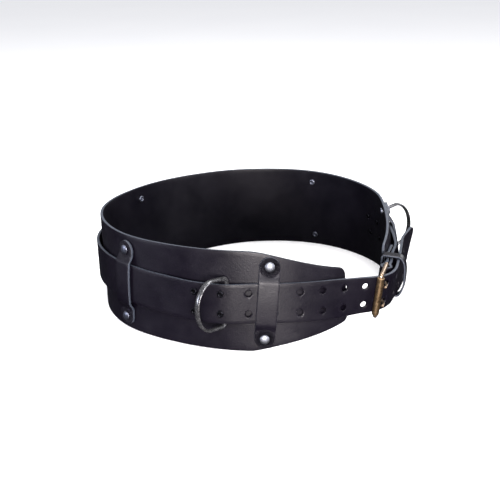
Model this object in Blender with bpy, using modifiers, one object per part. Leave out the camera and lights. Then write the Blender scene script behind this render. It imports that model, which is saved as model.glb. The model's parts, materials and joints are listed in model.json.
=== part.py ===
"""Leather work belt with a wide back panel, fastened and standing on its lower edge.

A 40 mm strap runs round the outside of a 100 mm panel, under five upright keepers.
Every place is given in belt coordinates: a turn in degrees round the waist, clockwise
from +X seen from above (front 90, left 180, back 270, right 360), a height above the
middle of the panel, and an offset outward from the middle of the panel's leather.
"""
from math import atan2, cos, pi, radians, sin, sqrt

import bmesh
import bpy
import numpy as np
from mathutils import Matrix, Vector

NAME = "duty_belt"
GAP = 0.0003

# Middle of the belt's box on the floor, in belt coordinates, moved to the origin at the end
MIDDLE = (0.01105, -0.00721, 0.0)

# Leather
LEATHER = 0.003
LOOP_LEATHER = 0.002
PANEL_WIDTH = 0.100
PANEL_END_WIDTH = 0.053
PANEL_TAPER = 0.095
PANEL_BLEND = 0.012
PANEL_CORNER = 0.006
PANEL_STEP = 0.0150
PANEL_FOOT = 0.0012
PANEL_START = 53.6
PANEL_STOP = 386.2
STRAP_WIDTH = 0.039
STRAP_POINT = 0.030
STRAP_TIP = 0.06
STRAP_TIP_SHARES = (0.0, 0.035, 0.11, 0.23, 0.4, 0.66, 1.0)
STRAP_TIP_MARGIN = 0.001
KEEPER_LENGTH = 0.090
KEEPER_WIDTH = 0.020
KEEPER_STEP = 0.0085
KEEPER_CROWN = 0.0010
KEEPER_CLEARANCE = 0.0012
KEEPER_TIP = 0.0008
KEEPER_END_ANGLES = (0, 22, 45, 68, 90)
KEEPER_STEP_SHARES = (0, 0.3, 0.6, 1)

# Holes in the strap, two rows, counted towards the strap's point
ROW_SPACING = 0.020
HOLE_RADIUS = 0.0032
FIRST_HOLE_TURN = 91.0
WIDE_PITCH = 0.0247
WIDE_PITCHES = 2
CLOSE_PITCH = 0.0226
CLOSE_PITCHES = 8

# Rivets
RIVET_CAP = 0.0048
RIVET_DOME = 0.0021
RIVET_DOME_ANGLES = (0, 40, 75)
RIVET_SHANK = 0.0020
RIVET_ROLL = 0.0036
RIVET_BORE = 0.0015
RIVET_HEIGHT = 0.036
RIVET_THROUGH = 0.03
SMALL_HEAD = 0.0034
SMALL_SHANK = 0.0016
SMALL_BORE = 0.0012
SMALL_DOME = 0.0010
SMALL_FLAT = 0.7
SMALL_CROWN = 1.3
ROLL_HEIGHT = 0.0014
BORE_DEPTH = 0.0010

# Rings
D_WIRE = 0.0021
D_BOW = (0.0015, 0.0032)
D_HALF = 0.0246
D_DEPTH = 0.0355
D_LEG = 0.0175
D_CORNER = 0.0055
D_BOW_SWEEP = 82
D_BOW_POINTS = 17
D_SIDES = 8
D_SEAT = 0.0040

# Buckle
WIRE = 0.0020
ROLLER_RADIUS = 0.0035
ROLLER_BORE = 0.0023
ROLLER_LENGTH = 0.0394
ROLLER_PLACE = (0.1236, -0.1308, 0.0445)
HINGE_PLACE = (0.1335, -0.0984, 0.0445)
BUCKLE_LEAN = 7.0
BUCKLE_CORNER = 0.0030
ROLLER_BEVEL = 0.0004
PRONG_RADIUS = 0.0013
PRONG_PASS = 0.015
PRONG_ROOM = 0.0012
PRONG_THROUGH = 3
SLOT_SIZE = (0.0135, 0.0038, 0.0170)
SLOT_SHIFT = -0.0010

# A prong from the hinge bar to the roller: distance from the roller's axis, outward
PRONG = (
    (0.0300, 0.0033),
    (0.0220, 0.0024),
    (0.0170, 0.0024),
    (0.0135, 0.0035),
    (0.0095, 0.0050),
    (0.0068, 0.0057),
    (0.0035, 0.0058),
    (0.0008, 0.0053),
)

# The middle line of the panel: turn, radius, lean (minus leans the top inward), rise
WAIST = (
    (0, 0.1545, -8.5, -0.0005),
    (30, 0.1550, -5.5, -0.0030),
    (60, 0.1554, -7.2, -0.0034),
    (90, 0.1494, -5.2, -0.0003),
    (120, 0.1472, -3.2, 0.0000),
    (150, 0.1555, -1.0, 0.0000),
    (180, 0.1577, 0.9, 0.0000),
    (210, 0.1479, 0.7, 0.0000),
    (240, 0.1435, -1.0, 0.0000),
    (270, 0.1530, -6.3, 0.0000),
    (300, 0.1624, -8.4, 0.0000),
    (330, 0.1605, -10.0, 0.0000),
)
WAIST_STEP = 30

# The strap from its point to the fold: turn, offset from the waist line, twist of its top
# outward from the panel's lean, rise
STRAP = (
    (-8.6, 0.0290, 21.0, -0.0008),
    (-3.5, 0.0228, 16.0, -0.0011),
    (1.5, 0.0178, 12.0, -0.0015),
    (5.0, 0.0150, 8.0, -0.0018),
    (9.0, 0.0131, 3.5, -0.0021),
    (13.5, 0.0127, 2.5, -0.0024),
    (18.0, 0.0130, 3.0, -0.0027),
    (23.0, 0.0140, 5.0, -0.0032),
    (28.0, 0.0157, 8.0, -0.0038),
    (33.0, 0.0186, 12.5, -0.0047),
    (37.5, 0.0216, 15.0, -0.0055),
    (40.5, 0.0222, 16.0, -0.0056),
    (43.0, 0.0212, 16.0, -0.0056),
    (45.2, 0.0188, 15.0, -0.0056),
    (47.0, 0.0162, 14.5, -0.0055),
    (49.0, 0.0132, 13.0, -0.0053),
    (51.5, 0.0104, 11.0, -0.0050),
    (54.3, 0.0082, 8.5, -0.0046),
    (58.0, 0.0063, 5.0, -0.0039),
    (62.0, 0.0049, 2.5, -0.0033),
    (67.0, 0.0040, 1.0, -0.0026),
    (73.0, 0.0036, 0.0, -0.0018),
    (84.2, 0.0035, 0.0, -0.0006),
    (88.6, 0.0042, 0.0, -0.0003),
    (93.0, 0.0061, 0.0, 0.0000),
    (97.4, 0.0081, 0.0, 0.0000),
    (101.0, 0.0087, 0.0, 0.0000),
    (106.0, 0.0086, 0.0, 0.0000),
    (112.0, 0.0078, 0.0, 0.0000),
    (118.0, 0.0066, 0.0, 0.0005),
    (124.0, 0.0054, 0.0, 0.0008),
    (131.0, 0.0046, 0.0, 0.0010),
    (138.0, 0.0037, 0.0, 0.0014),
    (147.0, 0.0036, 0.0, 0.0017),
    (155.0, 0.0046, 0.0, 0.0020),
    (180.0, 0.0064, 0.0, 0.0022),
    (198.0, 0.0050, 0.0, 0.0010),
    (206.0, 0.0036, 0.0, 0.0000),
    (215.0, 0.0036, 0.0, 0.0000),
    (250.0, 0.0042, 0.0, 0.0000),
    (297.0, 0.0036, 0.0, 0.0010),
    (318.0, 0.0039, 0.0, 0.0015),
    (326.0, 0.0052, 0.0, 0.0015),
    (331.0, 0.0070, 0.0, 0.0015),
    (336.0, 0.0077, 0.0, 0.0015),
    (340.4, 0.0088, 0.0, 0.0014),
    (344.9, 0.0088, 0.0, 0.0012),
    (347.2, 0.0068, 0.0, 0.0011),
    (349.4, 0.0045, 0.0, 0.0010),
    (351.4, 0.0038, 0.0, 0.0008),
    (358.0, 0.0036, 0.0, 0.0003),
    (364.0, 0.0041, 0.0, -0.0005),
    (370.0, 0.0056, 0.0, -0.0013),
    (375.5, 0.0074, 0.0, -0.0020),
    (382.5, 0.0080, 0.0, -0.0030),
    (386.8, 0.0088, 1.0, -0.0037),
    (389.5, 0.0097, 7.0, -0.0043),
    (391.6, 0.0104, 12.0, -0.0048),
    (394.0, 0.0110, 13.5, -0.0052),
)

# The turned-back end of the strap, inside the first layer: the same columns
FOLD_BACK = (
    (377.3, 0.0037, 0.0, -0.0023),
    (382.5, 0.0039, 0.0, -0.0030),
    (386.8, 0.0046, 1.0, -0.0037),
    (389.5, 0.0056, 7.0, -0.0043),
    (391.6, 0.0063, 12.0, -0.0048),
    (394.0, 0.0066, 13.5, -0.0052),
)

# Keepers: name, turn, skew in degrees of the top towards a smaller turn
KEEPERS = (
    ("front_right", 84.2, -2.6),
    ("front_left", 142.7, -1.5),
    ("back_left", 210.6, 0.0),
    ("back_right", 300.2, 0.0),
    ("buckle_side", 354.5, 0.0),
)

# Pairs of small rivets beside the rings: name, turn
SMALL_RIVETS = (("left_far", 110.1), ("left_near", 100.4), ("right_far", 333.4), ("right_near", 341.8))

# Rings: name, turn of the straight bar, swing from lying along a larger turn, tilt of the
# bow downwards, slide up
D_RINGS = (
    ("left", 98.9, 53.8, -1.5, 0.0),
    ("right", 343.8, 107.0, 4.0, 0.0010),
)

# The fold at the hinge bar and the loose loop behind it
FOLD_RADIUS = 0.0048
FOLD_SWEEP = 62.0
FOLD_RIVET_TURN = 392.8
FOLD_RIVET_DEPTH = 0.0050
FOLD_HEAD = 0.0024
FOLD_DOME = 0.0008
FOLD_FLAT = 0.7
FOLD_SHOULDER = 0.85
FOLD_THROUGH = 0.014
FOLD_ROW = 0.0130
LOOP_TURN = 28.6
LOOP_WIDTH = 0.009
LOOP_INSIDE = 0.0166
LOOP_OUTSIDE = 0.0080
LOOP_MARGIN = 0.0013
LOOP_CORNER = 0.0030
LOOP_FULLNESS = 0.8
LOOP_SKEW = 0.25

# Spacing of the strap's stations, closer near the rings and the buckle
FINE_TURN = 1.9
COARSE_TURN = 4.6
NEAR_RING = 6.0
NEAR_BUCKLE = 58.0
NEAR_FOLD = 374.0


def clear_scene():
    for item in list(bpy.data.objects):
        bpy.data.objects.remove(item)


def collection(name):
    group = bpy.data.collections.new(name)
    bpy.context.scene.collection.children.link(group)
    return group


def material(name, colour, roughness, metallic):
    made = bpy.data.materials.new(name)
    made.use_nodes = True
    shader = made.node_tree.nodes["Principled BSDF"]
    shader.inputs["Base Color"].default_value = (*colour, 1.0)
    shader.inputs["Roughness"].default_value = roughness
    shader.inputs["Metallic"].default_value = metallic
    return made


def waist(turn):
    """Radius, lean in degrees and rise of the panel's middle line at a turn."""
    place = turn / WAIST_STEP
    first = int(np.floor(place))
    t = place - first
    before, here, after, beyond = (np.array(WAIST[(first + k) % len(WAIST)][1:]) for k in (-1, 0, 1, 2))
    return 0.5 * (2 * here + (after - before) * t
                  + (2 * before - 5 * here + 4 * after - beyond) * t ** 2
                  + (3 * here - before - 3 * after + beyond) * t ** 3)


def radial(turn):
    return Vector((cos(radians(turn)), -sin(radians(turn)), 0.0))


def waist_point(turn, offset=0.0):
    """A point at the middle of the panel's height, moved outward by an offset."""
    radius, lean, rise = waist(turn)
    point = radial(turn) * (radius + offset)
    point.z = PANEL_WIDTH / 2 * cos(radians(lean)) + rise
    return point


def leaning(turn, lean):
    return Vector((0, 0, 1)) * cos(radians(lean)) + radial(turn) * sin(radians(lean))


def frame(middle, along, up):
    """A matrix with X to the right seen from outside, Y up the leather and Z outward."""
    along = along.normalized()
    square = (up - along * up.dot(along)).normalized()
    return Matrix.Translation(middle) @ Matrix((-along, square, square.cross(along))).transposed().to_4x4()


def wall(turn, height=0.0, offset=0.0):
    """The frame on the panel at a turn, a height above its middle and an offset outward."""
    along = waist_point(turn + 0.5) - waist_point(turn - 0.5)
    place = frame(waist_point(turn), along, leaning(turn, waist(turn)[1]))
    return place @ Matrix.Translation((0, height, offset))


def monotone(rows, turn):
    """The columns after the first, at a turn, on curves that don't overshoot the rows."""
    x = np.array([row[0] for row in rows], float)
    y = np.array([row[1:] for row in rows], float)
    step = np.diff(x)[:, None]
    rise = np.diff(y, axis=0) / step
    slope = np.zeros_like(y)
    slope[0], slope[-1] = rise[0], rise[-1]
    total = rise[:-1] + rise[1:]
    same = rise[:-1] * rise[1:] > 0
    slope[1:-1] = np.where(same, 2 * rise[:-1] * rise[1:] / np.where(same, total, 1), 0)
    k = int(np.clip(np.searchsorted(x, turn) - 1, 0, len(x) - 2))
    t = (turn - x[k]) / step[k, 0]
    return ((2 * t ** 3 - 3 * t ** 2 + 1) * y[k] + (t ** 3 - 2 * t ** 2 + t) * step[k, 0] * slope[k]
            + (3 * t ** 2 - 2 * t ** 3) * y[k + 1] + (t ** 3 - t ** 2) * step[k, 0] * slope[k + 1])


def strap_station(rows, turn):
    """Middle point and upward direction of the strap at a turn."""
    offset, twist, rise = monotone(rows, turn)
    radius, lean, _ = waist(turn)
    middle = radial(turn) * (radius + offset)
    middle.z = PANEL_WIDTH / 2 + rise
    return middle, leaning(turn, lean + twist)


def turns_between(start, stop, fine, coarse):
    """Turns from start to stop, close together near the buckle and the rings."""
    turn = start
    while turn < stop - fine / 2:
        yield turn
        near_ring = any(abs(turn - ring[1]) < NEAR_RING for ring in D_RINGS)
        turn += fine if turn < NEAR_BUCKLE or turn > NEAR_FOLD or near_ring else coarse
    yield stop


def buckle_place():
    """Frame at the roller's middle: X to the hinge bar, Y up the roller, Z outward."""
    roller = Vector(ROLLER_PLACE)
    to_hinge = (Vector(HINGE_PLACE) - roller).normalized()
    out = to_hinge.cross(Vector((0, 0, 1)))
    up = Vector((0, 0, 1)) * cos(radians(BUCKLE_LEAN)) + out * sin(radians(BUCKLE_LEAN))
    axes = Matrix((to_hinge, up, to_hinge.cross(up))).transposed().to_4x4()
    return Matrix.Translation(roller) @ axes


def buckle_reach():
    return (Vector(HINGE_PLACE) - Vector(ROLLER_PLACE)).length


def strap_path():
    """Stations of the whole strap, from its point round the waist and round the hinge bar."""
    turns = turns_between(STRAP[0][0], STRAP[-1][0], FINE_TURN, COARSE_TURN)
    path = [strap_station(STRAP, turn) for turn in turns]
    place = buckle_place()
    up = place.col[1].to_3d()
    for angle in np.linspace(FOLD_SWEEP, 360 - FOLD_SWEEP, 11):
        x = buckle_reach() + FOLD_RADIUS * cos(radians(angle))
        path.append((place @ Vector((x, 0, FOLD_RADIUS * sin(radians(angle)))), up))
    back = list(turns_between(FOLD_BACK[0][0], FOLD_BACK[-1][0], FINE_TURN, COARSE_TURN))
    path += [strap_station(FOLD_BACK, turn) for turn in reversed(back)]
    return path


def lengths(path):
    total = [0.0]
    for (one, _), (two, _) in zip(path, path[1:]):
        total.append(total[-1] + (two - one).length)
    return total


def path_frame(path, total, distance):
    """The frame on a path at a distance from its start."""
    k = int(np.clip(np.searchsorted(total, distance) - 1, 0, len(path) - 2))
    t = (distance - total[k]) / (total[k + 1] - total[k])
    middle = path[k][0].lerp(path[k + 1][0], t)
    up = path[k][1].lerp(path[k + 1][1], t)
    before = path[max(k - 1, 0)][0].lerp(path[k][0], t)
    after = path[k + 1][0].lerp(path[min(k + 2, len(path) - 1)][0], t)
    return frame(middle, after - before, up)


def linked(name, mesh, group, finish):
    item = bpy.data.objects.new(name, mesh)
    group.objects.link(item)
    if finish is not None:
        mesh.materials.append(finish)
    return item


def shade(item, angle=35):
    item.data.shade_smooth()
    item.data.set_sharp_from_angle(angle=radians(angle))


def sheet(name, rails, group, finish, thickness, closed=False):
    """A leather sheet between neighbouring rails of points, thickened both ways."""
    mesh = bpy.data.meshes.new(name)
    build = bmesh.new()
    rows = [[build.verts.new(point) for point in rail] for rail in rails]
    pairs = list(zip(rows, rows[1:] + rows[:1])) if closed else list(zip(rows, rows[1:]))
    for one, two in pairs:
        for k in range(len(one) - 1):
            build.faces.new((one[k], one[k + 1], two[k + 1], two[k]))
    bmesh.ops.recalc_face_normals(build, faces=build.faces)
    build.to_mesh(mesh)
    build.free()
    item = linked(name, mesh, group, finish)
    solid = item.modifiers.new("Leather", "SOLIDIFY")
    solid.thickness = thickness
    solid.offset = 0
    solid.use_even_offset = True
    return item


def cylinder_cutter(name, group, places, radius, depth, sides=10):
    """One cutter with a cylinder along Z at each place."""
    mesh = bpy.data.meshes.new(name)
    build = bmesh.new()
    for place in places:
        bmesh.ops.create_cone(build, cap_ends=True, segments=sides, radius1=radius, radius2=radius,
                              depth=depth, matrix=place)
    build.to_mesh(mesh)
    build.free()
    return hide(linked(name, mesh, group, None))


def box_cutter(name, group, places, size):
    """One cutter with a box at each place."""
    mesh = bpy.data.meshes.new(name)
    build = bmesh.new()
    for place in places:
        bmesh.ops.create_cube(build, size=1.0, matrix=place @ Matrix.Diagonal((*size, 1)))
    build.to_mesh(mesh)
    build.free()
    return hide(linked(name, mesh, group, None))


def hide(cutter):
    cutter.hide_render = True
    cutter.display_type = "WIRE"
    return cutter


def cut(item, cutter, label):
    boolean = item.modifiers.new(label, "BOOLEAN")
    boolean.operation = "DIFFERENCE"
    boolean.solver = "EXACT"
    boolean.object = cutter


def turned(name, profile, place, group, finish, steps=10, closed=False):
    """A turned piece from a profile of radius and height, top to bottom on its outer side."""
    mesh = bpy.data.meshes.new(name)
    edges = [(k, k + 1) for k in range(len(profile) - 1)]
    if closed:
        edges.append((len(profile) - 1, 0))
    mesh.from_pydata([(r, 0, z) for r, z in profile], edges, [])
    item = linked(name, mesh, group, finish)
    screw = item.modifiers.new("Turn", "SCREW")
    screw.steps = steps
    screw.render_steps = steps
    screw.use_merge_vertices = True
    screw.merge_threshold = 0.00002
    item.matrix_world = place
    shade(item)
    return item


def wire(name, points, place, group, finish, radius, closed=False):
    """A round wire along a list of points."""
    data = bpy.data.curves.new(name, "CURVE")
    data.dimensions = "3D"
    data.bevel_depth = radius
    data.bevel_resolution = 2
    data.use_fill_caps = True
    line = data.splines.new("POLY")
    line.points.add(len(points) - 1)
    for target, point in zip(line.points, points):
        target.co = (*point, 1.0)
    line.use_cyclic_u = closed
    item = bpy.data.objects.new(name, data)
    data.materials.append(finish)
    group.objects.link(item)
    item.matrix_world = place
    return item


def solid_wire(item, group):
    """The same wire as a mesh with its end caps joined on."""
    mesh = bpy.data.meshes.new_from_object(item)
    build = bmesh.new()
    build.from_mesh(mesh)
    bmesh.ops.remove_doubles(build, verts=build.verts, dist=0.00001)
    build.to_mesh(mesh)
    build.free()
    made = bpy.data.objects.new(item.name + "_mesh", mesh)
    made.matrix_world = item.matrix_world
    name = item.name
    bpy.data.objects.remove(item)
    made.name = name
    group.objects.link(made)
    shade(made)
    return made


def arc(x, y, radius, start, stop, steps):
    """Points on an arc in the XY plane, angles in degrees."""
    angles = np.radians(np.linspace(start, stop, steps + 1))
    return [(x + radius * cos(a), y + radius * sin(a), 0.0) for a in angles]


def panel_half(distance):
    """Half the panel's width at a distance from its nearer end."""
    full, end = PANEL_WIDTH / 2, PANEL_END_WIDTH / 2
    slope = (full - end) / PANEL_TAPER
    toward = distance - PANEL_TAPER
    half = min(full, end + slope * distance)
    if abs(toward) < PANEL_BLEND:
        half = full - slope * (PANEL_BLEND - toward) ** 2 / (4 * PANEL_BLEND)
    if distance < PANEL_CORNER:
        half -= PANEL_CORNER - sqrt(PANEL_CORNER ** 2 - (PANEL_CORNER - distance) ** 2)
    return half


def build_panel(parts, cutters, finish):
    """The wide back panel, with its lower edge cut level where it stands."""
    fine = np.linspace(PANEL_START, PANEL_STOP, 1400)
    points = [waist_point(turn) for turn in fine]
    run = np.concatenate([[0.0], np.cumsum([(b - a).length for a, b in zip(points, points[1:])])])
    near = [PANEL_CORNER * t for t in (0.0, 0.1, 0.33, 0.66, 1.0)]
    middle = np.linspace(PANEL_STEP * 1.3, run[-1] - PANEL_STEP * 1.3, int(run[-1] / PANEL_STEP))
    rails = []
    for distance in near + list(middle) + [run[-1] - d for d in reversed(near)]:
        half = panel_half(min(distance, run[-1] - distance))
        foot = PANEL_FOOT if half > PANEL_WIDTH / 2 - PANEL_FOOT else 0.0
        place = wall(float(np.interp(distance, run, fine)))
        rails.append([place @ Vector((0, height, 0)) for height in (-half - foot, half)])
    panel = sheet("back_panel", rails, parts, finish, LEATHER)
    floor = [Matrix.Translation((0, 0, -PANEL_WIDTH / 2))]
    cut(panel, box_cutter("panel_foot_cutter", cutters, floor, (1.0, 1.0, PANEL_WIDTH)), "Foot")
    big = [place for _, turn, skew in KEEPERS for place in rivet_places(turn, skew)]
    cut(panel, cylinder_cutter("panel_rivet_cutter", cutters, big, RIVET_SHANK + GAP, 0.02), "Rivet holes")
    small = [strap_place(turn, side) for _, turn in SMALL_RIVETS for side in (1, -1)]
    cutter = cylinder_cutter("panel_small_cutter", cutters, small, SMALL_SHANK + GAP, RIVET_THROUGH)
    cut(panel, cutter, "Small holes")
    shade(panel)


def keeper_place(turn, skew):
    """The wall's frame at a keeper, turned in the plane of the leather by its skew."""
    return wall(turn) @ Matrix.Rotation(radians(skew), 4, "Z")


def rivet_places(turn, skew):
    """Frames of a keeper's two rivets, the upper one first."""
    place = keeper_place(turn, skew)
    return [place @ Matrix.Translation((0, side * RIVET_HEIGHT, 0)) for side in (1, -1)]


def strap_place(turn, side):
    """The wall's frame at the upper or lower row of the strap's holes."""
    up = monotone(STRAP, turn)[2] - waist(turn)[2]
    return wall(turn, side * ROW_SPACING / 2 + up)


def build_keeper(name, turn, skew, parts, cutters, leather, steel):
    """An upright strip riveted to the panel above and below the strap."""
    offset, _, rise = monotone(STRAP, turn)
    rise -= waist(turn)[2]
    low = LEATHER + GAP
    high = offset + LEATHER + 2 * GAP
    half = KEEPER_LENGTH / 2
    radius = KEEPER_WIDTH / 2
    start = STRAP_WIDTH / 2 + KEEPER_CLEARANCE
    ends = [half - radius * (1 - cos(radians(a))) for a in KEEPER_END_ANGLES]
    steps = [start / 2] + [start + KEEPER_STEP * t for t in KEEPER_STEP_SHARES]
    heights = [-h for h in ends] + [rise - s for s in steps] + [rise] + [rise + s for s in steps] + ends
    heights.sort()
    place = keeper_place(turn, skew)
    rails = []
    for h in heights:
        past = max(abs(h) - (half - radius), 0)
        width = max(sqrt(radius ** 2 - min(past, radius) ** 2), KEEPER_TIP)
        t = min(max((abs(h - rise) - start) / KEEPER_STEP, 0), 1)
        out = high + (low - high) * (3 * t ** 2 - 2 * t ** 3)
        out += KEEPER_CROWN * max(1 - (abs(h - rise) / (start + KEEPER_STEP / 2)) ** 2, 0)
        rails.append([place @ Vector((x, h, out)) for x in (-width, width)])
    item = sheet("keeper_" + name, rails, parts, leather, LEATHER)
    places = rivet_places(turn, skew)
    cutter = cylinder_cutter("keeper_cutter_" + name, cutters, places, RIVET_SHANK + GAP, RIVET_THROUGH)
    cut(item, cutter, "Rivet holes")
    shade(item)
    for place, label in zip(places, ("top", "bottom")):
        turned("rivet_" + name + "_" + label, keeper_rivet_profile(), place, parts, steel, 12)


def keeper_rivet_profile():
    """Domed cap outside, shank, and a rolled tubular end inside."""
    seat = LEATHER * 1.5 + 2 * GAP
    inner = -LEATHER / 2 - 2 * GAP
    dome = [(RIVET_CAP * sin(radians(a)), seat + RIVET_DOME * cos(radians(a))) for a in RIVET_DOME_ANGLES]
    shank = [(RIVET_CAP, seat), (RIVET_SHANK, seat), (RIVET_SHANK, inner)]
    return dome + shank + rolled_end(inner, -1, RIVET_ROLL, RIVET_BORE)


def rolled_end(level, side, radius, bore):
    """The rolled end of a tubular rivet, outward from a level, with its blind bore."""
    high = level + side * ROLL_HEIGHT
    return [(radius, level), ((radius + bore) / 2, high), (bore, high - side * BORE_DEPTH / 2),
            (0.0, high - side * BORE_DEPTH)]


def small_rivet_profile(outer, inner):
    """A rolled end outside the strap, a shank and a low head inside the panel."""
    roll = list(reversed(rolled_end(outer, 1, SMALL_HEAD, SMALL_BORE)))
    head = [(SMALL_HEAD, inner), (SMALL_HEAD * SMALL_FLAT, inner - SMALL_DOME)]
    head.append((0.0, inner - SMALL_DOME * SMALL_CROWN))
    return roll + [(SMALL_SHANK, outer), (SMALL_SHANK, inner)] + head


def fold_rivet_profile():
    """A plain rivet with a low head on each side of the folded strap."""
    outer = LEATHER / 2 + 3 * GAP
    inner = -FOLD_RIVET_DEPTH - outer
    flat = FOLD_HEAD * FOLD_FLAT
    shoulder = FOLD_DOME * FOLD_SHOULDER
    return [(0.0, outer + FOLD_DOME), (flat, outer + shoulder), (FOLD_HEAD, outer), (SMALL_SHANK, outer),
            (SMALL_SHANK, inner), (FOLD_HEAD, inner), (flat, inner - shoulder), (0.0, inner - FOLD_DOME)]


def fold_rivet_place(side):
    middle, up = strap_station(STRAP, FOLD_RIVET_TURN)
    along = strap_station(STRAP, FOLD_RIVET_TURN + 0.4)[0] - strap_station(STRAP, FOLD_RIVET_TURN - 0.4)[0]
    return frame(middle, along, up) @ Matrix.Translation((0, side * FOLD_ROW, 0))


def first_hole_distance(path, total):
    """Distance from the strap's point to the pair of holes farthest from it."""
    target = strap_station(STRAP, FIRST_HOLE_TURN)[0]
    nearest = min(range(len(path)), key=lambda k: (path[k][0] - target).length)
    along = (path[nearest + 1][0] - path[nearest - 1][0]).normalized()
    return total[nearest] + (target - path[nearest][0]).dot(along)


def hole_distance(start, column):
    wide = min(column, WIDE_PITCHES)
    return start - wide * WIDE_PITCH - (column - wide) * CLOSE_PITCH


def build_strap(parts, cutters, finish):
    """The belt strap in one piece, folded round the hinge bar of the buckle."""
    path = strap_path()
    total = lengths(path)
    half = STRAP_WIDTH / 2
    rails = []
    for t in STRAP_TIP_SHARES:
        place = path_frame(path, total, t * STRAP_POINT)
        width = half * max(sqrt(1 - (1 - t) ** 2), STRAP_TIP)
        rails.append([place @ Vector((0, h, 0)) for h in (-width, width)])
    for distance in total:
        if distance > STRAP_POINT + STRAP_TIP_MARGIN:
            place = path_frame(path, total, distance)
            rails.append([place @ Vector((0, h, 0)) for h in (-half, half)])
    strap = sheet("strap", rails, parts, finish, LEATHER)
    start = first_hole_distance(path, total)
    count = WIDE_PITCHES + CLOSE_PITCHES + 1
    columns = [path_frame(path, total, hole_distance(start, k)) for k in range(count)]
    rows = [Matrix.Translation((0, side * ROW_SPACING / 2, 0)) for side in (1, -1)]
    holes = [place @ row for place in columns for row in rows]
    cut(strap, cylinder_cutter("strap_hole_cutter", cutters, holes, HOLE_RADIUS, 2 * LEATHER), "Holes")
    small = [strap_place(turn, side) for _, turn in SMALL_RIVETS for side in (1, -1)]
    cutter = cylinder_cutter("strap_small_cutter", cutters, small, SMALL_SHANK + GAP, RIVET_THROUGH)
    cut(strap, cutter, "Small holes")
    fold = [fold_rivet_place(side) for side in (1, -1)]
    cutter = cylinder_cutter("strap_fold_cutter", cutters, fold, SMALL_SHANK + GAP, FOLD_THROUGH)
    cut(strap, cutter, "Fold holes")
    buckle = buckle_place()
    rows = [buckle @ Matrix.Translation((0, side * ROW_SPACING / 2, 0)) for side in (1, -1)]
    slots = [row @ Matrix.Translation((buckle_reach() + SLOT_SHIFT, 0, 0)) for row in rows]
    cut(strap, box_cutter("strap_slot_cutter", cutters, slots, SLOT_SIZE), "Prong slots")
    passes = [row @ prong_pass() for row in rows]
    cutter = cylinder_cutter("strap_prong_cutter", cutters, passes, PRONG_RADIUS + PRONG_ROOM, PRONG_PASS)
    cut(strap, cutter, "Prongs")
    shade(strap)


def prong_pass():
    """The frame along a prong where it goes through the strap."""
    (x1, z1), (x2, z2) = PRONG[PRONG_THROUGH], PRONG[PRONG_THROUGH + 1]
    tilt = atan2(x2 - x1, z2 - z1)
    return Matrix.Translation(((x1 + x2) / 2, 0, (z1 + z2) / 2)) @ Matrix.Rotation(tilt, 4, "Y")


def d_outline():
    """Middle line of a D ring: straight bar on the Y axis, bow towards plus X."""
    inner = D_HALF - D_CORNER
    low = arc(D_CORNER, -inner, D_CORNER, 180, 250, 3)
    high = arc(D_CORNER, inner, D_CORNER, 110, 180, 3)
    bow = []
    for t in np.radians(np.linspace(-D_BOW_SWEEP, D_BOW_SWEEP, D_BOW_POINTS)):
        bow.append((D_LEG + (D_DEPTH - D_LEG) * cos(t), D_HALF * sin(t) / sin(radians(D_BOW_SWEEP)), 0.0))
    return low + bow + high


def d_section(distance):
    """Half thickness in the ring's plane and half width across it, round at the bar, flat at the bow."""
    t = min(max(distance / D_LEG, 0), 1)
    t = 3 * t ** 2 - 2 * t ** 3
    return D_WIRE + (D_BOW[0] - D_WIRE) * t, D_WIRE + (D_BOW[1] - D_WIRE) * t


def build_d_ring(name, turn, swing, tilt, slide, parts, finish):
    up = monotone(STRAP, turn)[2] - waist(turn)[2] + slide
    place = wall(turn, up, D_SEAT) @ Matrix.Rotation(radians(tilt), 4, "Z")
    place = place @ Matrix.Rotation(radians(180 + swing), 4, "Y")
    points = [Vector(point) for point in d_outline()]
    turns = [2 * pi * m / D_SIDES for m in range(D_SIDES)]
    mesh = bpy.data.meshes.new("d_ring_" + name)
    build = bmesh.new()
    loops = []
    for k, point in enumerate(points):
        along = (points[(k + 1) % len(points)] - points[k - 1]).normalized()
        side = along.cross(Vector((0, 0, 1)))
        thick, wide = d_section(point.x)
        rim = [point + side * (thick * cos(a)) + Vector((0, 0, wide * sin(a))) for a in turns]
        loops.append([build.verts.new(corner) for corner in rim])
    for one, two in zip(loops, loops[1:] + loops[:1]):
        for m in range(D_SIDES):
            n = (m + 1) % D_SIDES
            build.faces.new((one[m], one[n], two[n], two[m]))
    bmesh.ops.recalc_face_normals(build, faces=build.faces)
    build.to_mesh(mesh)
    build.free()
    item = linked("d_ring_" + name, mesh, parts, finish)
    item.matrix_world = place
    shade(item)


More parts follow.
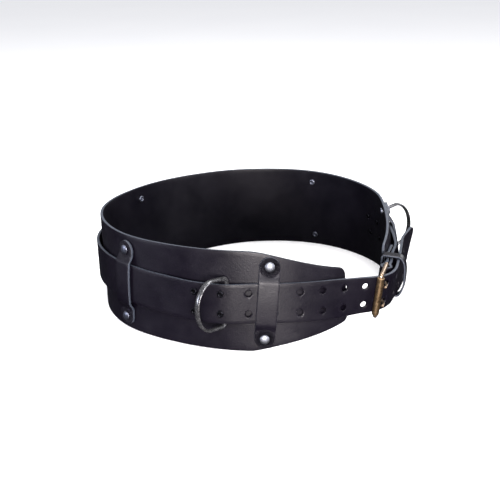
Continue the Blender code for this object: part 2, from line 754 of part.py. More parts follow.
def build_buckle(parts, brass, dark_brass):
    """The frame with its hinge bar, the roller on the front bar and two prongs."""
    place = buckle_place()
    reach = buckle_reach()
    half = ROLLER_LENGTH / 2 + GAP + WIRE
    c = BUCKLE_CORNER
    near = c / 2
    outline = arc(near, -half + near, near, 180, 270, 3) + arc(reach - c, -half + c, c, 270, 360, 4)
    outline += arc(reach - c, half - c, c, 0, 90, 4) + arc(near, half - near, near, 90, 180, 3)
    wire("buckle_frame", outline, place, parts, brass, WIRE, closed=True)
    length = ROLLER_LENGTH / 2
    bevel = ROLLER_BEVEL
    ring = [(ROLLER_BORE, length), (ROLLER_RADIUS - bevel, length), (ROLLER_RADIUS, length - bevel),
            (ROLLER_RADIUS, bevel - length), (ROLLER_RADIUS - bevel, -length), (ROLLER_BORE, -length)]
    turned("buckle_roller", ring, place @ Matrix.Rotation(radians(-90), 4, "X"), parts, dark_brass, 16, True)
    eye = WIRE + GAP + PRONG_RADIUS
    hook = [(reach + eye * cos(radians(a)), 0.0, eye * sin(radians(a))) for a in range(-180, 91, 30)]
    points = hook + [(x, 0.0, z) for x, z in PRONG]
    for side, label in ((1, "upper"), (-1, "lower")):
        row = place @ Matrix.Translation((0, side * ROW_SPACING / 2, 0))
        solid_wire(wire("prong_" + label, points, row, parts, brass, PRONG_RADIUS), parts)


def build_loop(parts, finish):
    """A loose leather loop round the strap's free end and its folded end."""
    middle, up = strap_station(STRAP, LOOP_TURN)
    along = strap_station(STRAP, LOOP_TURN + 0.5)[0] - strap_station(STRAP, LOOP_TURN - 0.5)[0]
    place = frame(middle, along, up)
    half = STRAP_WIDTH / 2 + LOOP_LEATHER / 2 + LOOP_MARGIN
    c = LOOP_CORNER
    back = arc(c - LOOP_INSIDE, half - c, c, 90, 180, 3) + arc(c - LOOP_INSIDE, c - half, c, 180, 270, 3)
    front = [(LOOP_OUTSIDE * cos(t), half * np.sign(sin(t)) * abs(sin(t)) ** LOOP_FULLNESS, 0.0)
             for t in np.radians(np.linspace(-90, 90, 15))]
    rails = []
    for z, y, _ in back + front:
        up = y + LOOP_SKEW * max(z - LEATHER, 0.0)
        rails.append([place @ Vector((x, up, z)) for x in (-LOOP_WIDTH / 2, LOOP_WIDTH / 2)])
    shade(sheet("keeper_loop", rails, parts, finish, LOOP_LEATHER, closed=True))


def build():
    clear_scene()
    parts = collection(NAME)
    cutters = collection(NAME + "_cutters")
    leather = material("black leather", (0.012, 0.012, 0.014), 0.42, 0.0)
    steel = material("nickelled steel", (0.55, 0.55, 0.56), 0.28, 1.0)
    dark_steel = material("darkened steel", (0.16, 0.16, 0.17), 0.38, 1.0)
    brass = material("polished old brass", (0.45, 0.33, 0.16), 0.3, 1.0)
    dark_brass = material("mottled brass", (0.22, 0.16, 0.08), 0.45, 1.0)
    black = material("blackened rivet", (0.02, 0.02, 0.022), 0.35, 1.0)
    build_panel(parts, cutters, leather)
    build_strap(parts, cutters, leather)
    for name, turn, skew in KEEPERS:
        build_keeper(name, turn, skew, parts, cutters, leather, steel)
    for name, turn in SMALL_RIVETS:
        offset = monotone(STRAP, turn)[0]
        profile = small_rivet_profile(offset + LEATHER / 2 + 3 * GAP, -LEATHER / 2 - 2 * GAP)
        for side, level in ((1, "upper"), (-1, "lower")):
            turned("small_rivet_" + name + "_" + level, profile, strap_place(turn, side), parts, black)
    for side, level in ((1, "upper"), (-1, "lower")):
        turned("fold_rivet_" + level, fold_rivet_profile(), fold_rivet_place(side), parts, black)
    for name, turn, swing, tilt, slide in D_RINGS:
        build_d_ring(name, turn, swing, tilt, slide, parts, dark_steel)
    build_buckle(parts, brass, dark_brass)
    build_loop(parts, leather)
    for item in list(parts.objects) + list(cutters.objects):
        item.matrix_world = Matrix.Translation(-Vector(MIDDLE)) @ item.matrix_world


build()
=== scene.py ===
"""Looks of the leather work belt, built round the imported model.

The leather is made again here with rounded edges and fine stations, from the same belt
coordinates as the solids: a turn in degrees round the waist, clockwise from +X seen from
above, a height above the panel's middle, and an offset outward from the panel's leather.
"""
import json
from math import atan2, cos, pi, radians, sin, sqrt

import bmesh
import bpy
import numpy as np
from mathutils import Matrix, Vector

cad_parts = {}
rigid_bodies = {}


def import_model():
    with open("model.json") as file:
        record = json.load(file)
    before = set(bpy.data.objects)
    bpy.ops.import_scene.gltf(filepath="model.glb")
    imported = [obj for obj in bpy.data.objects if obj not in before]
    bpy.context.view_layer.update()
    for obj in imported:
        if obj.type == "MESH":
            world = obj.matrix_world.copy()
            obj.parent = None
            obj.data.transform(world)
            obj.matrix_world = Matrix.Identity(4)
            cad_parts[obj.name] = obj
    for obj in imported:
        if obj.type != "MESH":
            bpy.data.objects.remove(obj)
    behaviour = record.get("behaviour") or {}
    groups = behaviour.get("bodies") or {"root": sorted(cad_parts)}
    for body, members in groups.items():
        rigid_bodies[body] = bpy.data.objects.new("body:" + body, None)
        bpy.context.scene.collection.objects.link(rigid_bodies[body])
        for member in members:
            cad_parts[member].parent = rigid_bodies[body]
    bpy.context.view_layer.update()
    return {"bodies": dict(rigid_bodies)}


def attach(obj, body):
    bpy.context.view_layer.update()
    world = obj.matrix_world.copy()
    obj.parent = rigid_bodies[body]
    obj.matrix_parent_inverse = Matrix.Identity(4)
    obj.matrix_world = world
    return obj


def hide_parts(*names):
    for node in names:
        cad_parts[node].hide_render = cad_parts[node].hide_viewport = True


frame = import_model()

BELT = next(name for name, empty in frame["bodies"].items() if "ring" not in name)

# Measures shared with the solids, in metres and degrees

GAP = 0.0003
MIDDLE = (0.01105, -0.00721, 0.0)
LEATHER = 0.003
LOOP_LEATHER = 0.002
PANEL_WIDTH = 0.100
PANEL_END_WIDTH = 0.053
PANEL_TAPER = 0.095
PANEL_BLEND = 0.012
PANEL_CORNER = 0.006
PANEL_START = 53.6
PANEL_STOP = 386.2
STRAP_WIDTH = 0.039
STRAP_POINT = 0.030
KEEPER_LENGTH = 0.090
KEEPER_WIDTH = 0.020
KEEPER_STEP = 0.0085
KEEPER_CROWN = 0.0010
KEEPER_CLEARANCE = 0.0012
ROW_SPACING = 0.020
HOLE_RADIUS = 0.0032
FIRST_HOLE_TURN = 91.0
WIDE_PITCH = 0.0247
WIDE_PITCHES = 2
CLOSE_PITCH = 0.0226
CLOSE_PITCHES = 8
RIVET_CAP = 0.0048
RIVET_DOME = 0.0021
RIVET_SHANK = 0.0020
RIVET_ROLL = 0.0036
RIVET_BORE = 0.0015
RIVET_HEIGHT = 0.036
SMALL_HEAD = 0.0034
SMALL_SHANK = 0.0016
SMALL_BORE = 0.0012
SMALL_DOME = 0.0010
ROLL_HEIGHT = 0.0014
BORE_DEPTH = 0.0010
D_WIRE = 0.0021
D_BOW = (0.0015, 0.0032)
D_HALF = 0.0246
D_DEPTH = 0.0355
D_LEG = 0.0175
D_CORNER = 0.0055
D_BOW_SWEEP = 82
D_SEAT = 0.0040
WIRE = 0.0020
ROLLER_RADIUS = 0.0035
ROLLER_BORE = 0.0023
ROLLER_LENGTH = 0.0394
ROLLER_PLACE = (0.1236, -0.1308, 0.0445)
HINGE_PLACE = (0.1335, -0.0984, 0.0445)
BUCKLE_LEAN = 7.0
BUCKLE_CORNER = 0.0030
PRONG_RADIUS = 0.0013
PRONG_PASS = 0.015
PRONG_THROUGH = 3
SLOT_SIZE = (0.0135, 0.0038, 0.0170)
SLOT_SHIFT = -0.0010
PRONG = (
    (0.0300, 0.0033),
    (0.0220, 0.0024),
    (0.0170, 0.0024),
    (0.0135, 0.0035),
    (0.0095, 0.0050),
    (0.0068, 0.0057),
    (0.0035, 0.0058),
    (0.0008, 0.0053),
)

# The panel's middle line: turn, radius, lean, rise
WAIST = (
    (0, 0.1545, -8.5, -0.0005),
    (30, 0.1550, -5.5, -0.0030),
    (60, 0.1554, -7.2, -0.0034),
    (90, 0.1494, -5.2, -0.0003),
    (120, 0.1472, -3.2, 0.0000),
    (150, 0.1555, -1.0, 0.0000),
    (180, 0.1577, 0.9, 0.0000),
    (210, 0.1479, 0.7, 0.0000),
    (240, 0.1435, -1.0, 0.0000),
    (270, 0.1530, -6.3, 0.0000),
    (300, 0.1624, -8.4, 0.0000),
    (330, 0.1605, -10.0, 0.0000),
)
WAIST_STEP = 30

# The strap from its point to the fold: turn, offset from the waist line, twist of its top
# outward from the panel's lean, rise
STRAP = (
    (-8.6, 0.0290, 21.0, -0.0008),
    (-3.5, 0.0228, 16.0, -0.0011),
    (1.5, 0.0178, 12.0, -0.0015),
    (5.0, 0.0150, 8.0, -0.0018),
    (9.0, 0.0131, 3.5, -0.0021),
    (13.5, 0.0127, 2.5, -0.0024),
    (18.0, 0.0130, 3.0, -0.0027),
    (23.0, 0.0140, 5.0, -0.0032),
    (28.0, 0.0157, 8.0, -0.0038),
    (33.0, 0.0186, 12.5, -0.0047),
    (37.5, 0.0216, 15.0, -0.0055),
    (40.5, 0.0222, 16.0, -0.0056),
    (43.0, 0.0212, 16.0, -0.0056),
    (45.2, 0.0188, 15.0, -0.0056),
    (47.0, 0.0162, 14.5, -0.0055),
    (49.0, 0.0132, 13.0, -0.0053),
    (51.5, 0.0104, 11.0, -0.0050),
    (54.3, 0.0082, 8.5, -0.0046),
    (58.0, 0.0063, 5.0, -0.0039),
    (62.0, 0.0049, 2.5, -0.0033),
    (67.0, 0.0040, 1.0, -0.0026),
    (73.0, 0.0036, 0.0, -0.0018),
    (84.2, 0.0035, 0.0, -0.0006),
    (88.6, 0.0042, 0.0, -0.0003),
    (93.0, 0.0061, 0.0, 0.0000),
    (97.4, 0.0081, 0.0, 0.0000),
    (101.0, 0.0087, 0.0, 0.0000),
    (106.0, 0.0086, 0.0, 0.0000),
    (112.0, 0.0078, 0.0, 0.0000),
    (118.0, 0.0066, 0.0, 0.0005),
    (124.0, 0.0054, 0.0, 0.0008),
    (131.0, 0.0046, 0.0, 0.0010),
    (138.0, 0.0037, 0.0, 0.0014),
    (147.0, 0.0036, 0.0, 0.0017),
    (155.0, 0.0046, 0.0, 0.0020),
    (180.0, 0.0064, 0.0, 0.0022),
    (198.0, 0.0050, 0.0, 0.0010),
    (206.0, 0.0036, 0.0, 0.0000),
    (215.0, 0.0036, 0.0, 0.0000),
    (250.0, 0.0042, 0.0, 0.0000),
    (297.0, 0.0036, 0.0, 0.0010),
    (318.0, 0.0039, 0.0, 0.0015),
    (326.0, 0.0052, 0.0, 0.0015),
    (331.0, 0.0070, 0.0, 0.0015),
    (336.0, 0.0077, 0.0, 0.0015),
    (340.4, 0.0088, 0.0, 0.0014),
    (344.9, 0.0088, 0.0, 0.0012),
    (347.2, 0.0068, 0.0, 0.0011),
    (349.4, 0.0045, 0.0, 0.0010),
    (351.4, 0.0038, 0.0, 0.0008),
    (358.0, 0.0036, 0.0, 0.0003),
    (364.0, 0.0041, 0.0, -0.0005),
    (370.0, 0.0056, 0.0, -0.0013),
    (375.5, 0.0074, 0.0, -0.0020),
    (382.5, 0.0080, 0.0, -0.0030),
    (386.8, 0.0088, 1.0, -0.0037),
    (389.5, 0.0097, 7.0, -0.0043),
    (391.6, 0.0104, 12.0, -0.0048),
    (394.0, 0.0110, 13.5, -0.0052),
)

# The turned-back end of the strap, inside the first layer: the same columns
FOLD_BACK = (
    (377.3, 0.0037, 0.0, -0.0023),
    (382.5, 0.0039, 0.0, -0.0030),
    (386.8, 0.0046, 1.0, -0.0037),
    (389.5, 0.0056, 7.0, -0.0043),
    (391.6, 0.0063, 12.0, -0.0048),
    (394.0, 0.0066, 13.5, -0.0052),
)

# Keepers: name, turn, skew of the top towards a smaller turn
KEEPERS = (
    ("front_right", 84.2, -2.6),
    ("front_left", 142.7, -1.5),
    ("back_left", 210.6, 0.0),
    ("back_right", 300.2, 0.0),
    ("buckle_side", 354.5, 0.0),
)

# Pairs of small rivets beside the rings: name, turn
SMALL_RIVETS = (
    ("left_far", 110.1),
    ("left_near", 100.4),
    ("right_far", 333.4),
    ("right_near", 341.8),
)

# Rings: name, turn of the straight bar, swing from lying along a larger turn, tilt of the
# bow downwards, slide up
D_RINGS = (
    ("left", 98.9, 53.8, -1.5, 0.0),
    ("right", 343.8, 107.0, 4.0, 0.0010),
)

# The fold at the hinge bar and the loose loop behind it
FOLD_RADIUS = 0.0048
FOLD_SWEEP = 62.0
FOLD_RIVET_TURN = 392.8
FOLD_RIVET_DEPTH = 0.0050
FOLD_HEAD = 0.0024
FOLD_ROW = 0.0130
LOOP_TURN = 28.6
LOOP_WIDTH = 0.009
LOOP_INSIDE = 0.0166
LOOP_OUTSIDE = 0.0080
LOOP_MARGIN = 0.0013
LOOP_CORNER = 0.0030
LOOP_FULLNESS = 0.8
LOOP_SKEW = 0.25


def waist(turn):
    """Radius, lean in degrees and rise of the panel's middle line at a turn."""
    place = turn / WAIST_STEP
    first = int(np.floor(place))
    t = place - first
    before, here, after, beyond = (
        np.array(WAIST[(first + k) % len(WAIST)][1:]) for k in (-1, 0, 1, 2))
    return 0.5 * (2 * here + (after - before) * t
                  + (2 * before - 5 * here + 4 * after - beyond) * t ** 2
                  + (3 * here - before - 3 * after + beyond) * t ** 3)


def radial(turn):
    return Vector((cos(radians(turn)), -sin(radians(turn)), 0.0))


def waist_point(turn, offset=0.0):
    """A point at the middle of the panel's height, moved outward by an offset."""
    radius, lean, rise = waist(turn)
    point = radial(turn) * (radius + offset)
    point.z = PANEL_WIDTH / 2 * cos(radians(lean)) + rise
    return point


def leaning(turn, lean):
    return Vector((0, 0, 1)) * cos(radians(lean)) + radial(turn) * sin(radians(lean))


def axes_at(middle, along, up):
    """A matrix with X to the right seen from outside, Y up the leather and Z outward."""
    along = along.normalized()
    square = (up - along * up.dot(along)).normalized()
    axes = Matrix((-along, square, square.cross(along))).transposed().to_4x4()
    return Matrix.Translation(middle) @ axes


def wall(turn, height=0.0, offset=0.0):
    """The frame on the panel at a turn, a height above its middle and an offset outward."""
    along = waist_point(turn + HEADING_REACH) - waist_point(turn - HEADING_REACH)
    place = axes_at(waist_point(turn), along, leaning(turn, waist(turn)[1]))
    return place @ Matrix.Translation((0, height, offset))


def monotone(rows, turn):
    """The columns after the first, at a turn, on curves that don't overshoot the rows."""
    x = np.array([row[0] for row in rows], float)
    y = np.array([row[1:] for row in rows], float)
    step = np.diff(x)[:, None]
    rise = np.diff(y, axis=0) / step
    slope = np.zeros_like(y)
    slope[0], slope[-1] = rise[0], rise[-1]
    total = rise[:-1] + rise[1:]
    same = rise[:-1] * rise[1:] > 0
    slope[1:-1] = np.where(same, 2 * rise[:-1] * rise[1:] / np.where(same, total, 1), 0)
    k = int(np.clip(np.searchsorted(x, turn) - 1, 0, len(x) - 2))
    t = (turn - x[k]) / step[k, 0]
    return ((2 * t ** 3 - 3 * t ** 2 + 1) * y[k]
            + (t ** 3 - 2 * t ** 2 + t) * step[k, 0] * slope[k]
            + (3 * t ** 2 - 2 * t ** 3) * y[k + 1]
            + (t ** 3 - t ** 2) * step[k, 0] * slope[k + 1])


def strap_station(rows, turn):
    """Middle point and upward direction of the strap at a turn."""
    offset, twist, rise = monotone(rows, turn)
    radius, lean, _ = waist(turn)
    middle = radial(turn) * (radius + offset)
    middle.z = PANEL_WIDTH / 2 + rise
    return middle, leaning(turn, lean + twist)


def strap_heading(turn, reach):
    """Direction along the strap at a turn, between stations a little before and after it."""
    return strap_station(STRAP, turn + reach)[0] - strap_station(STRAP, turn - reach)[0]


def buckle_place():
    """Frame at the roller's middle: X to the hinge bar, Y up the roller, Z outward."""
    roller = Vector(ROLLER_PLACE)
    to_hinge = (Vector(HINGE_PLACE) - roller).normalized()
    out = to_hinge.cross(Vector((0, 0, 1)))
    up = Vector((0, 0, 1)) * cos(radians(BUCKLE_LEAN)) + out * sin(radians(BUCKLE_LEAN))
    axes = Matrix((to_hinge, up, to_hinge.cross(up))).transposed().to_4x4()
    return Matrix.Translation(roller) @ axes


def buckle_reach():
    return (Vector(HINGE_PLACE) - Vector(ROLLER_PLACE)).length


def lengths(path):
    total = [0.0]
    for (one, _), (two, _) in zip(path, path[1:]):
        total.append(total[-1] + (two - one).length)
    return total


def path_frame(path, total, distance):
    """The frame on a path at a distance from its start."""
    k = int(np.clip(np.searchsorted(total, distance) - 1, 0, len(path) - 2))
    t = (distance - total[k]) / (total[k + 1] - total[k])
    middle = path[k][0].lerp(path[k + 1][0], t)
    up = path[k][1].lerp(path[k + 1][1], t)
    before = path[max(k - 1, 0)][0].lerp(path[k][0], t)
    after = path[k + 1][0].lerp(path[min(k + 2, len(path) - 1)][0], t)
    return axes_at(middle, after - before, up)


def arc(x, y, radius, start, stop, steps):
    """Points on an arc in the XY plane, angles in degrees."""
    angles = np.radians(np.linspace(start, stop, steps + 1))
    return [(x + radius * cos(a), y + radius * sin(a), 0.0) for a in angles]


def panel_half(distance):
    """Half the panel's width at a distance from its nearer end."""
    full, end = PANEL_WIDTH / 2, PANEL_END_WIDTH / 2
    slope = (full - end) / PANEL_TAPER
    toward = distance - PANEL_TAPER
    half = min(full, end + slope * distance)
    if abs(toward) < PANEL_BLEND:
        half = full - slope * (PANEL_BLEND - toward) ** 2 / (4 * PANEL_BLEND)
    if distance < PANEL_CORNER:
        half -= PANEL_CORNER - sqrt(PANEL_CORNER ** 2 - (PANEL_CORNER - distance) ** 2)
    return half


def keeper_place(turn, skew):
    """The wall's frame at a keeper, turned in the plane of the leather by its skew."""
    return wall(turn) @ Matrix.Rotation(radians(skew), 4, "Z")


def rivet_places(turn, skew):
    """Frames of a keeper's two rivets, the upper one first."""
    place = keeper_place(turn, skew)
    return [place @ Matrix.Translation((0, side * RIVET_HEIGHT, 0)) for side in (1, -1)]


def strap_place(turn, side):
    """The wall's frame at the upper or lower row of the strap's holes."""
    up = monotone(STRAP, turn)[2] - waist(turn)[2]
    return wall(turn, side * ROW_SPACING / 2 + up)


def fold_rivet_place(side):
    middle, up = strap_station(STRAP, FOLD_RIVET_TURN)
    along = strap_heading(FOLD_RIVET_TURN, FOLD_HEADING_REACH)
    return axes_at(middle, along, up) @ Matrix.Translation((0, side * FOLD_ROW, 0))


def first_hole_distance(path, total):
    """Distance from the strap's point to the pair of holes farthest from it."""
    target = strap_station(STRAP, FIRST_HOLE_TURN)[0]
    nearest = min(range(len(path)), key=lambda k: (path[k][0] - target).length)
    along = (path[nearest + 1][0] - path[nearest - 1][0]).normalized()
    return total[nearest] + (target - path[nearest][0]).dot(along)


def hole_distance(start, column):
    wide = min(column, WIDE_PITCHES)
    return start - wide * WIDE_PITCH - (column - wide) * CLOSE_PITCH


def prong_pass():
    """The frame along a prong where it goes through the strap."""
    (x1, z1), (x2, z2) = PRONG[PRONG_THROUGH], PRONG[PRONG_THROUGH + 1]
    tilt = atan2(x2 - x1, z2 - z1)
    return Matrix.Translation(((x1 + x2) / 2, 0, (z1 + z2) / 2)) @ Matrix.Rotation(tilt, 4, "Y")


def eased(t):
    """A share from 0 to 1 that starts and ends softly."""
    t = min(max(t, 0), 1)
    return 3 * t ** 2 - 2 * t ** 3


def d_section(distance):
    """Half thickness in the ring's plane and half width across it: round at the bar, flat at
    the bow.
    """
    t = eased(distance / D_LEG)
    return D_WIRE + (D_BOW[0] - D_WIRE) * t, D_WIRE + (D_BOW[1] - D_WIRE) * t


# Measures of the shapes made finer here than in the solids

HEADING_REACH = 0.5
FOLD_HEADING_REACH = 0.4
FINE_STEP = 0.0025
TURN_STEP = 0.75
FOLD_STEPS = 25
THIN = 0.0001
COUNT_SAFETY = 0.999
EDGE_ROUND = 0.0006
ROUND_STEPS = 3
HOLE_FLARE = 0.0006
CUT_PAST = 0.004
ON_AXIS = 1e-6
STEEP = 0.9
ROD_TIP = 0.35

# The flare of a hole's mouth: depth and widening, as shares of the flare
FLARE_CURVE = ((0.4, 0.45), (1.2, 0.0))

PANEL_SAMPLES = 1400
PANEL_COLUMNS = 26
PANEL_END_SHARES = (0.0, 0.04, 0.12, 0.24, 0.4, 0.6, 0.8, 1.0)
PANEL_PAST_CORNER = 1.4
PANEL_FULL_MARGIN = 0.001
PANEL_FLOOR_REACH = 0.002
STRAP_COLUMNS = 12
KEEPER_COLUMNS = 12
LOOP_COLUMNS = 4
STRAP_TIP_SHARES = (0.0, 0.01, 0.03, 0.06, 0.1, 0.16, 0.23, 0.31, 0.4, 0.5, 0.6, 0.7, 0.8, 0.9, 1.0)
STRAP_TIP_LEAST = 0.06
STRAP_TIP_MARGIN = 0.001
FOLD_THROUGH = 0.011
FOLD_DOME = 0.0008
KEEPER_END_ANGLES = (0, 4, 9, 15, 22, 30, 38, 46, 55, 64, 72, 81)
KEEPER_LAST_ANGLE = 85
KEEPER_FINE_STEP = 0.0016
KEEPER_FINE_START = 0.9
KEEPER_LEAST = 0.0006
PRESS_DEPTH = 0.00022
PRESS_REACH = 1.6
CAP_RIM = 0.0004
CAP_FOOT = 0.4
SMALL_RIM = 0.0002
ROLL_FOOT = 0.25
BORE_SINK = 1.6
BORE_SHARE = 0.96
D_CORNER_SWEEP = 70
D_WEAR = 0.025
ROLLER_BEVEL = 0.0005
ROLLER_WAVE = 0.00006

TO_ROW = Matrix.Translation(-Vector(MIDDLE))

# Parts of a leather strip's outline, by their place in its materials
OUTER, EDGE, INNER = 0, 1, 2


def new_object(name, mesh):
    item = bpy.data.objects.new(name, mesh)
    bpy.context.scene.collection.objects.link(item)
    return item


def smooth(item, angle):
    item.data.shade_smooth()
    item.data.set_sharp_from_angle(angle=radians(angle))
    return item


def closed_mesh(name, build):
    """The mesh of a finished build, with its faces turned outward."""
    bmesh.ops.recalc_face_normals(build, faces=build.faces)
    mesh = bpy.data.meshes.new(name)
    build.to_mesh(mesh)
    build.free()
    return mesh


def circle(build, radius, z, sides, place=None):
    """A ring of vertices round Z at a height."""
    points = [Vector((radius * cos(a), radius * sin(a), z))
              for a in np.linspace(0, 2 * pi, sides, endpoint=False)]
    return [build.verts.new(place @ point if place else point) for point in points]


def cross_section(low, high, thickness, step):
    """Closed outline of a leather strip, as height and offset, and the part that starts at
    each of its points.
    """
    e = min(EDGE_ROUND, thickness / 2 - THIN, max((high - low) / 3, THIN))
    half = thickness / 2
    flat = np.linspace(low + e, high - e, max(int((high - low) / step), 1) + 1)
    turn = np.radians(np.linspace(0, 90, ROUND_STEPS + 1))
    outer = [(h, half) for h in flat]
    top = [(high - e + e * sin(a), half - e + e * cos(a)) for a in turn[1:]]
    top += [(high - e + e * cos(a), -half + e - e * sin(a)) for a in turn[:-1]]
    inner = [(h, -half) for h in reversed(flat)]
    bottom = [(low + e - e * sin(a), -half + e - e * cos(a)) for a in turn[1:]]
    bottom += [(low + e - e * cos(a), half - e + e * sin(a)) for a in turn[:-1]]
    rim = [OUTER] * (ROUND_STEPS - 1) + [EDGE] * 3 + [INNER] * (ROUND_STEPS - 1)
    parts = [OUTER] * (len(outer) - 1) + rim + [INNER] * (len(inner) - 1) + rim[::-1]
    return outer + top + inner + bottom, parts


def strip(name, stations, thickness, count_width, closed=False):
    """A leather strip through stations of (frame, lowest height, highest height, outward)."""
    build = bmesh.new()
    rows = []
    for place, low, high, out in stations:
        step = (high - low) / count_width
        section, parts = cross_section(low, high, thickness, step * COUNT_SAFETY)
        rows.append([build.verts.new(TO_ROW @ (place @ Vector((0, h, z + out))))
                     for h, z in section])
    pairs = list(zip(rows, rows[1:]))
    if closed:
        pairs.append((rows[-1], rows[0]))
    for one, two in pairs:
        for k, part in enumerate(parts):
            j = (k + 1) % len(parts)
            build.faces.new((one[k], one[j], two[j], two[k])).material_index = part
    if not closed:
        for row in (rows[0], rows[-1]):
            build.faces.new(row).material_index = EDGE
    return new_object(name, closed_mesh(name, build))


def flared_cutter(places, radius, reach, flare, sides=28):
    """Holes along Z with softly flared mouths at both faces of the leather."""
    build = bmesh.new()
    half = reach / 2
    mouth = [(half + CUT_PAST, radius + flare), (half, radius + flare)]
    mouth += [(half - depth * flare, radius + wider * flare) for depth, wider in FLARE_CURVE]
    levels = [(-z, r) for z, r in mouth] + mouth[::-1]
    for place in places:
        rings = [circle(build, r, z, sides, place) for z, r in levels]
        for one, two in zip(rings, rings[1:]):
            for k in range(sides):
                build.faces.new((one[k], one[(k + 1) % sides], two[(k + 1) % sides], two[k]))
        build.faces.new(list(reversed(rings[0])))
        build.faces.new(rings[-1])
    for face in build.faces:
        face.smooth = True
    return new_object("cutter", closed_mesh("cutter", build))


def box_cutter(places, size):
    """Boxes at some places, whose walls take the edge material."""
    mesh = bpy.data.meshes.new("cutter")
    build = bmesh.new()
    for place in places:
        bmesh.ops.create_cube(build, size=1.0, matrix=place @ Matrix.Diagonal((*size, 1)))
    for face in build.faces:
        face.material_index = EDGE
    build.to_mesh(mesh)
    build.free()
    return new_object("cutter", mesh)


def carve(item, cutters, materials):
    """Gives a piece and its cutters the materials, cuts the holes and applies the cuts."""
    for made in (item, *cutters):
        for mat in materials:
            made.data.materials.append(mat)
    for cutter in cutters:
        boolean = item.modifiers.new("Cut", "BOOLEAN")
        boolean.operation = "DIFFERENCE"
        boolean.solver = "EXACT"
        boolean.material_mode = "TRANSFER"
        boolean.object = cutter
        bpy.context.view_layer.update()
        evaluated = item.evaluated_get(bpy.context.evaluated_depsgraph_get())
        mesh = bpy.data.meshes.new_from_object(evaluated)
        item.modifiers.clear()
        item.data = mesh
        bpy.data.objects.remove(cutter)


def turned(name, profile, place, mat, sides=32):
    """A turned piece from a profile of radius and height."""
    build = bmesh.new()
    rings = []
    for r, z in profile:
        if r < ON_AXIS:
            rings.append([build.verts.new((0, 0, z))])
        else:
            rings.append(circle(build, r, z, sides))
    for one, two in zip(rings, rings[1:]):
        for k in range(sides):
            j = (k + 1) % sides
            if len(one) == 1:
                build.faces.new((one[0], two[k], two[j]))
            elif len(two) == 1:
                build.faces.new((one[k], two[0], one[j]))
            else:
                build.faces.new((one[k], two[k], two[j], one[j]))
    mesh = closed_mesh(name, build)
    mesh.materials.append(mat)
    item = new_object(name, mesh)
    item.matrix_world = TO_ROW @ place
    return smooth(item, 40)


def rounded(points, steps=4):
    """A polyline with its corners cut softer, by Chaikin's rule."""
    for _ in range(steps):
        fresh = [points[0]]
        for a, b in zip(points, points[1:]):
            fresh += [tuple(0.75 * p + 0.25 * q for p, q in zip(a, b)),
                      tuple(0.25 * p + 0.75 * q for p, q in zip(a, b))]
        points = fresh + [points[-1]]
    return points


def rod(name, points, place, radius, mat, closed=False, sides=20, shape=None, section=None):
    """A bar along points. shape(share along, angle) scales its radius, and section(x) gives
    its half thickness and half width in place of the radius.
    """
    path = [Vector(p) for p in points]
    count = len(path)
    build = bmesh.new()
    rings = []
    normal = None
    for k in range(count):
        before = path[k - 1] if closed or k else path[0]
        after = path[(k + 1) % count] if closed or k < count - 1 else path[-1]
        along = (after - before).normalized()
        if normal is None:
            normal = along.orthogonal().normalized()
            if abs(along.z) < STEEP:
                normal = Vector((0, 0, 1))
        normal = (normal - along * normal.dot(along)).normalized()
        side = along.cross(normal)
        thick, wide = section(path[k].x) if section else (radius, radius)
        ring = []
        for m in range(sides):
            a = 2 * pi * m / sides
            r = shape(k / count, a) if shape else 1
            across = normal * (r * wide * cos(a))
            ring.append(build.verts.new(path[k] + across + side * (r * thick * sin(a))))
        rings.append(ring)
    pairs = list(zip(rings, rings[1:])) + ([(rings[-1], rings[0])] if closed else [])
    for one, two in pairs:
        for m in range(sides):
            j = (m + 1) % sides
            build.faces.new((one[m], one[j], two[j], two[m]))
    if not closed:
        for ring, past in ((rings[0], path[0] - path[1]), (rings[-1], path[-1] - path[-2])):
            tip = sum((v.co for v in ring), Vector()) / sides
            tip += past.normalized() * radius * ROD_TIP
            middle = build.verts.new(tip)
            for m in range(sides):
                build.faces.new((ring[m], ring[(m + 1) % sides], middle))
    mesh = closed_mesh(name, build)
    mesh.materials.append(mat)
    item = new_object(name, mesh)
    item.matrix_world = TO_ROW @ place
    return smooth(item, 50)


def stand_for(item, nodes, body):
    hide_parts(*([nodes] if isinstance(nodes, str) else nodes))
    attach(item, body)
    return item


# Materials

NOISE_RANGE = (0.3, 0.7)
PORE_DEPTH = 0.00012
MOTTLE_DEPTH = 0.0003
FIBRE_DEPTH = 0.0003
WEAR_DEPTH = 0.00006
DENT_DEPTH = 0.0004

# Pleats round a rivet's cap: strength at the front keeper and at the others, count, depth,
# sway in radians, and where they begin and end, as shares of the cap's radius
FRONT_PLEATS = 1.0
OTHER_PLEATS = 0.35
PLEAT_COUNT = 26.0
PLEAT_DEPTH = 0.0009
PLEAT_SWAY = 0.25
PLEAT_START = (0.85, 1.15)
PLEAT_END = (1.2, 2.3)

# The hollow that a cap presses into a keeper's material: reach, strength and depth
HOLLOW = (0.9, 1.5)
HOLLOW_STRENGTH = 0.6
HOLLOW_DEPTH = 0.0004


def shader(name):
    made = bpy.data.materials.new(name)
    made.use_nodes = True
    tree = made.node_tree
    return made, tree, tree.nodes["Principled BSDF"]


def coordinates(tree, scale=(1, 1, 1)):
    place = tree.nodes.new("ShaderNodeTexCoord")
    mapping = tree.nodes.new("ShaderNodeMapping")
    mapping.inputs["Scale"].default_value = scale
    tree.links.new(place.outputs["Object"], mapping.inputs["Vector"])
    return mapping.outputs["Vector"]


def noise(tree, vector, scale, detail=4.0, rough=0.55, warp=0.0):
    node = tree.nodes.new("ShaderNodeTexNoise")
    node.inputs["Scale"].default_value = scale
    node.inputs["Detail"].default_value = detail
    node.inputs["Roughness"].default_value = rough
    node.inputs["Distortion"].default_value = warp
    tree.links.new(vector, node.inputs["Vector"])
    return node.outputs["Fac"]


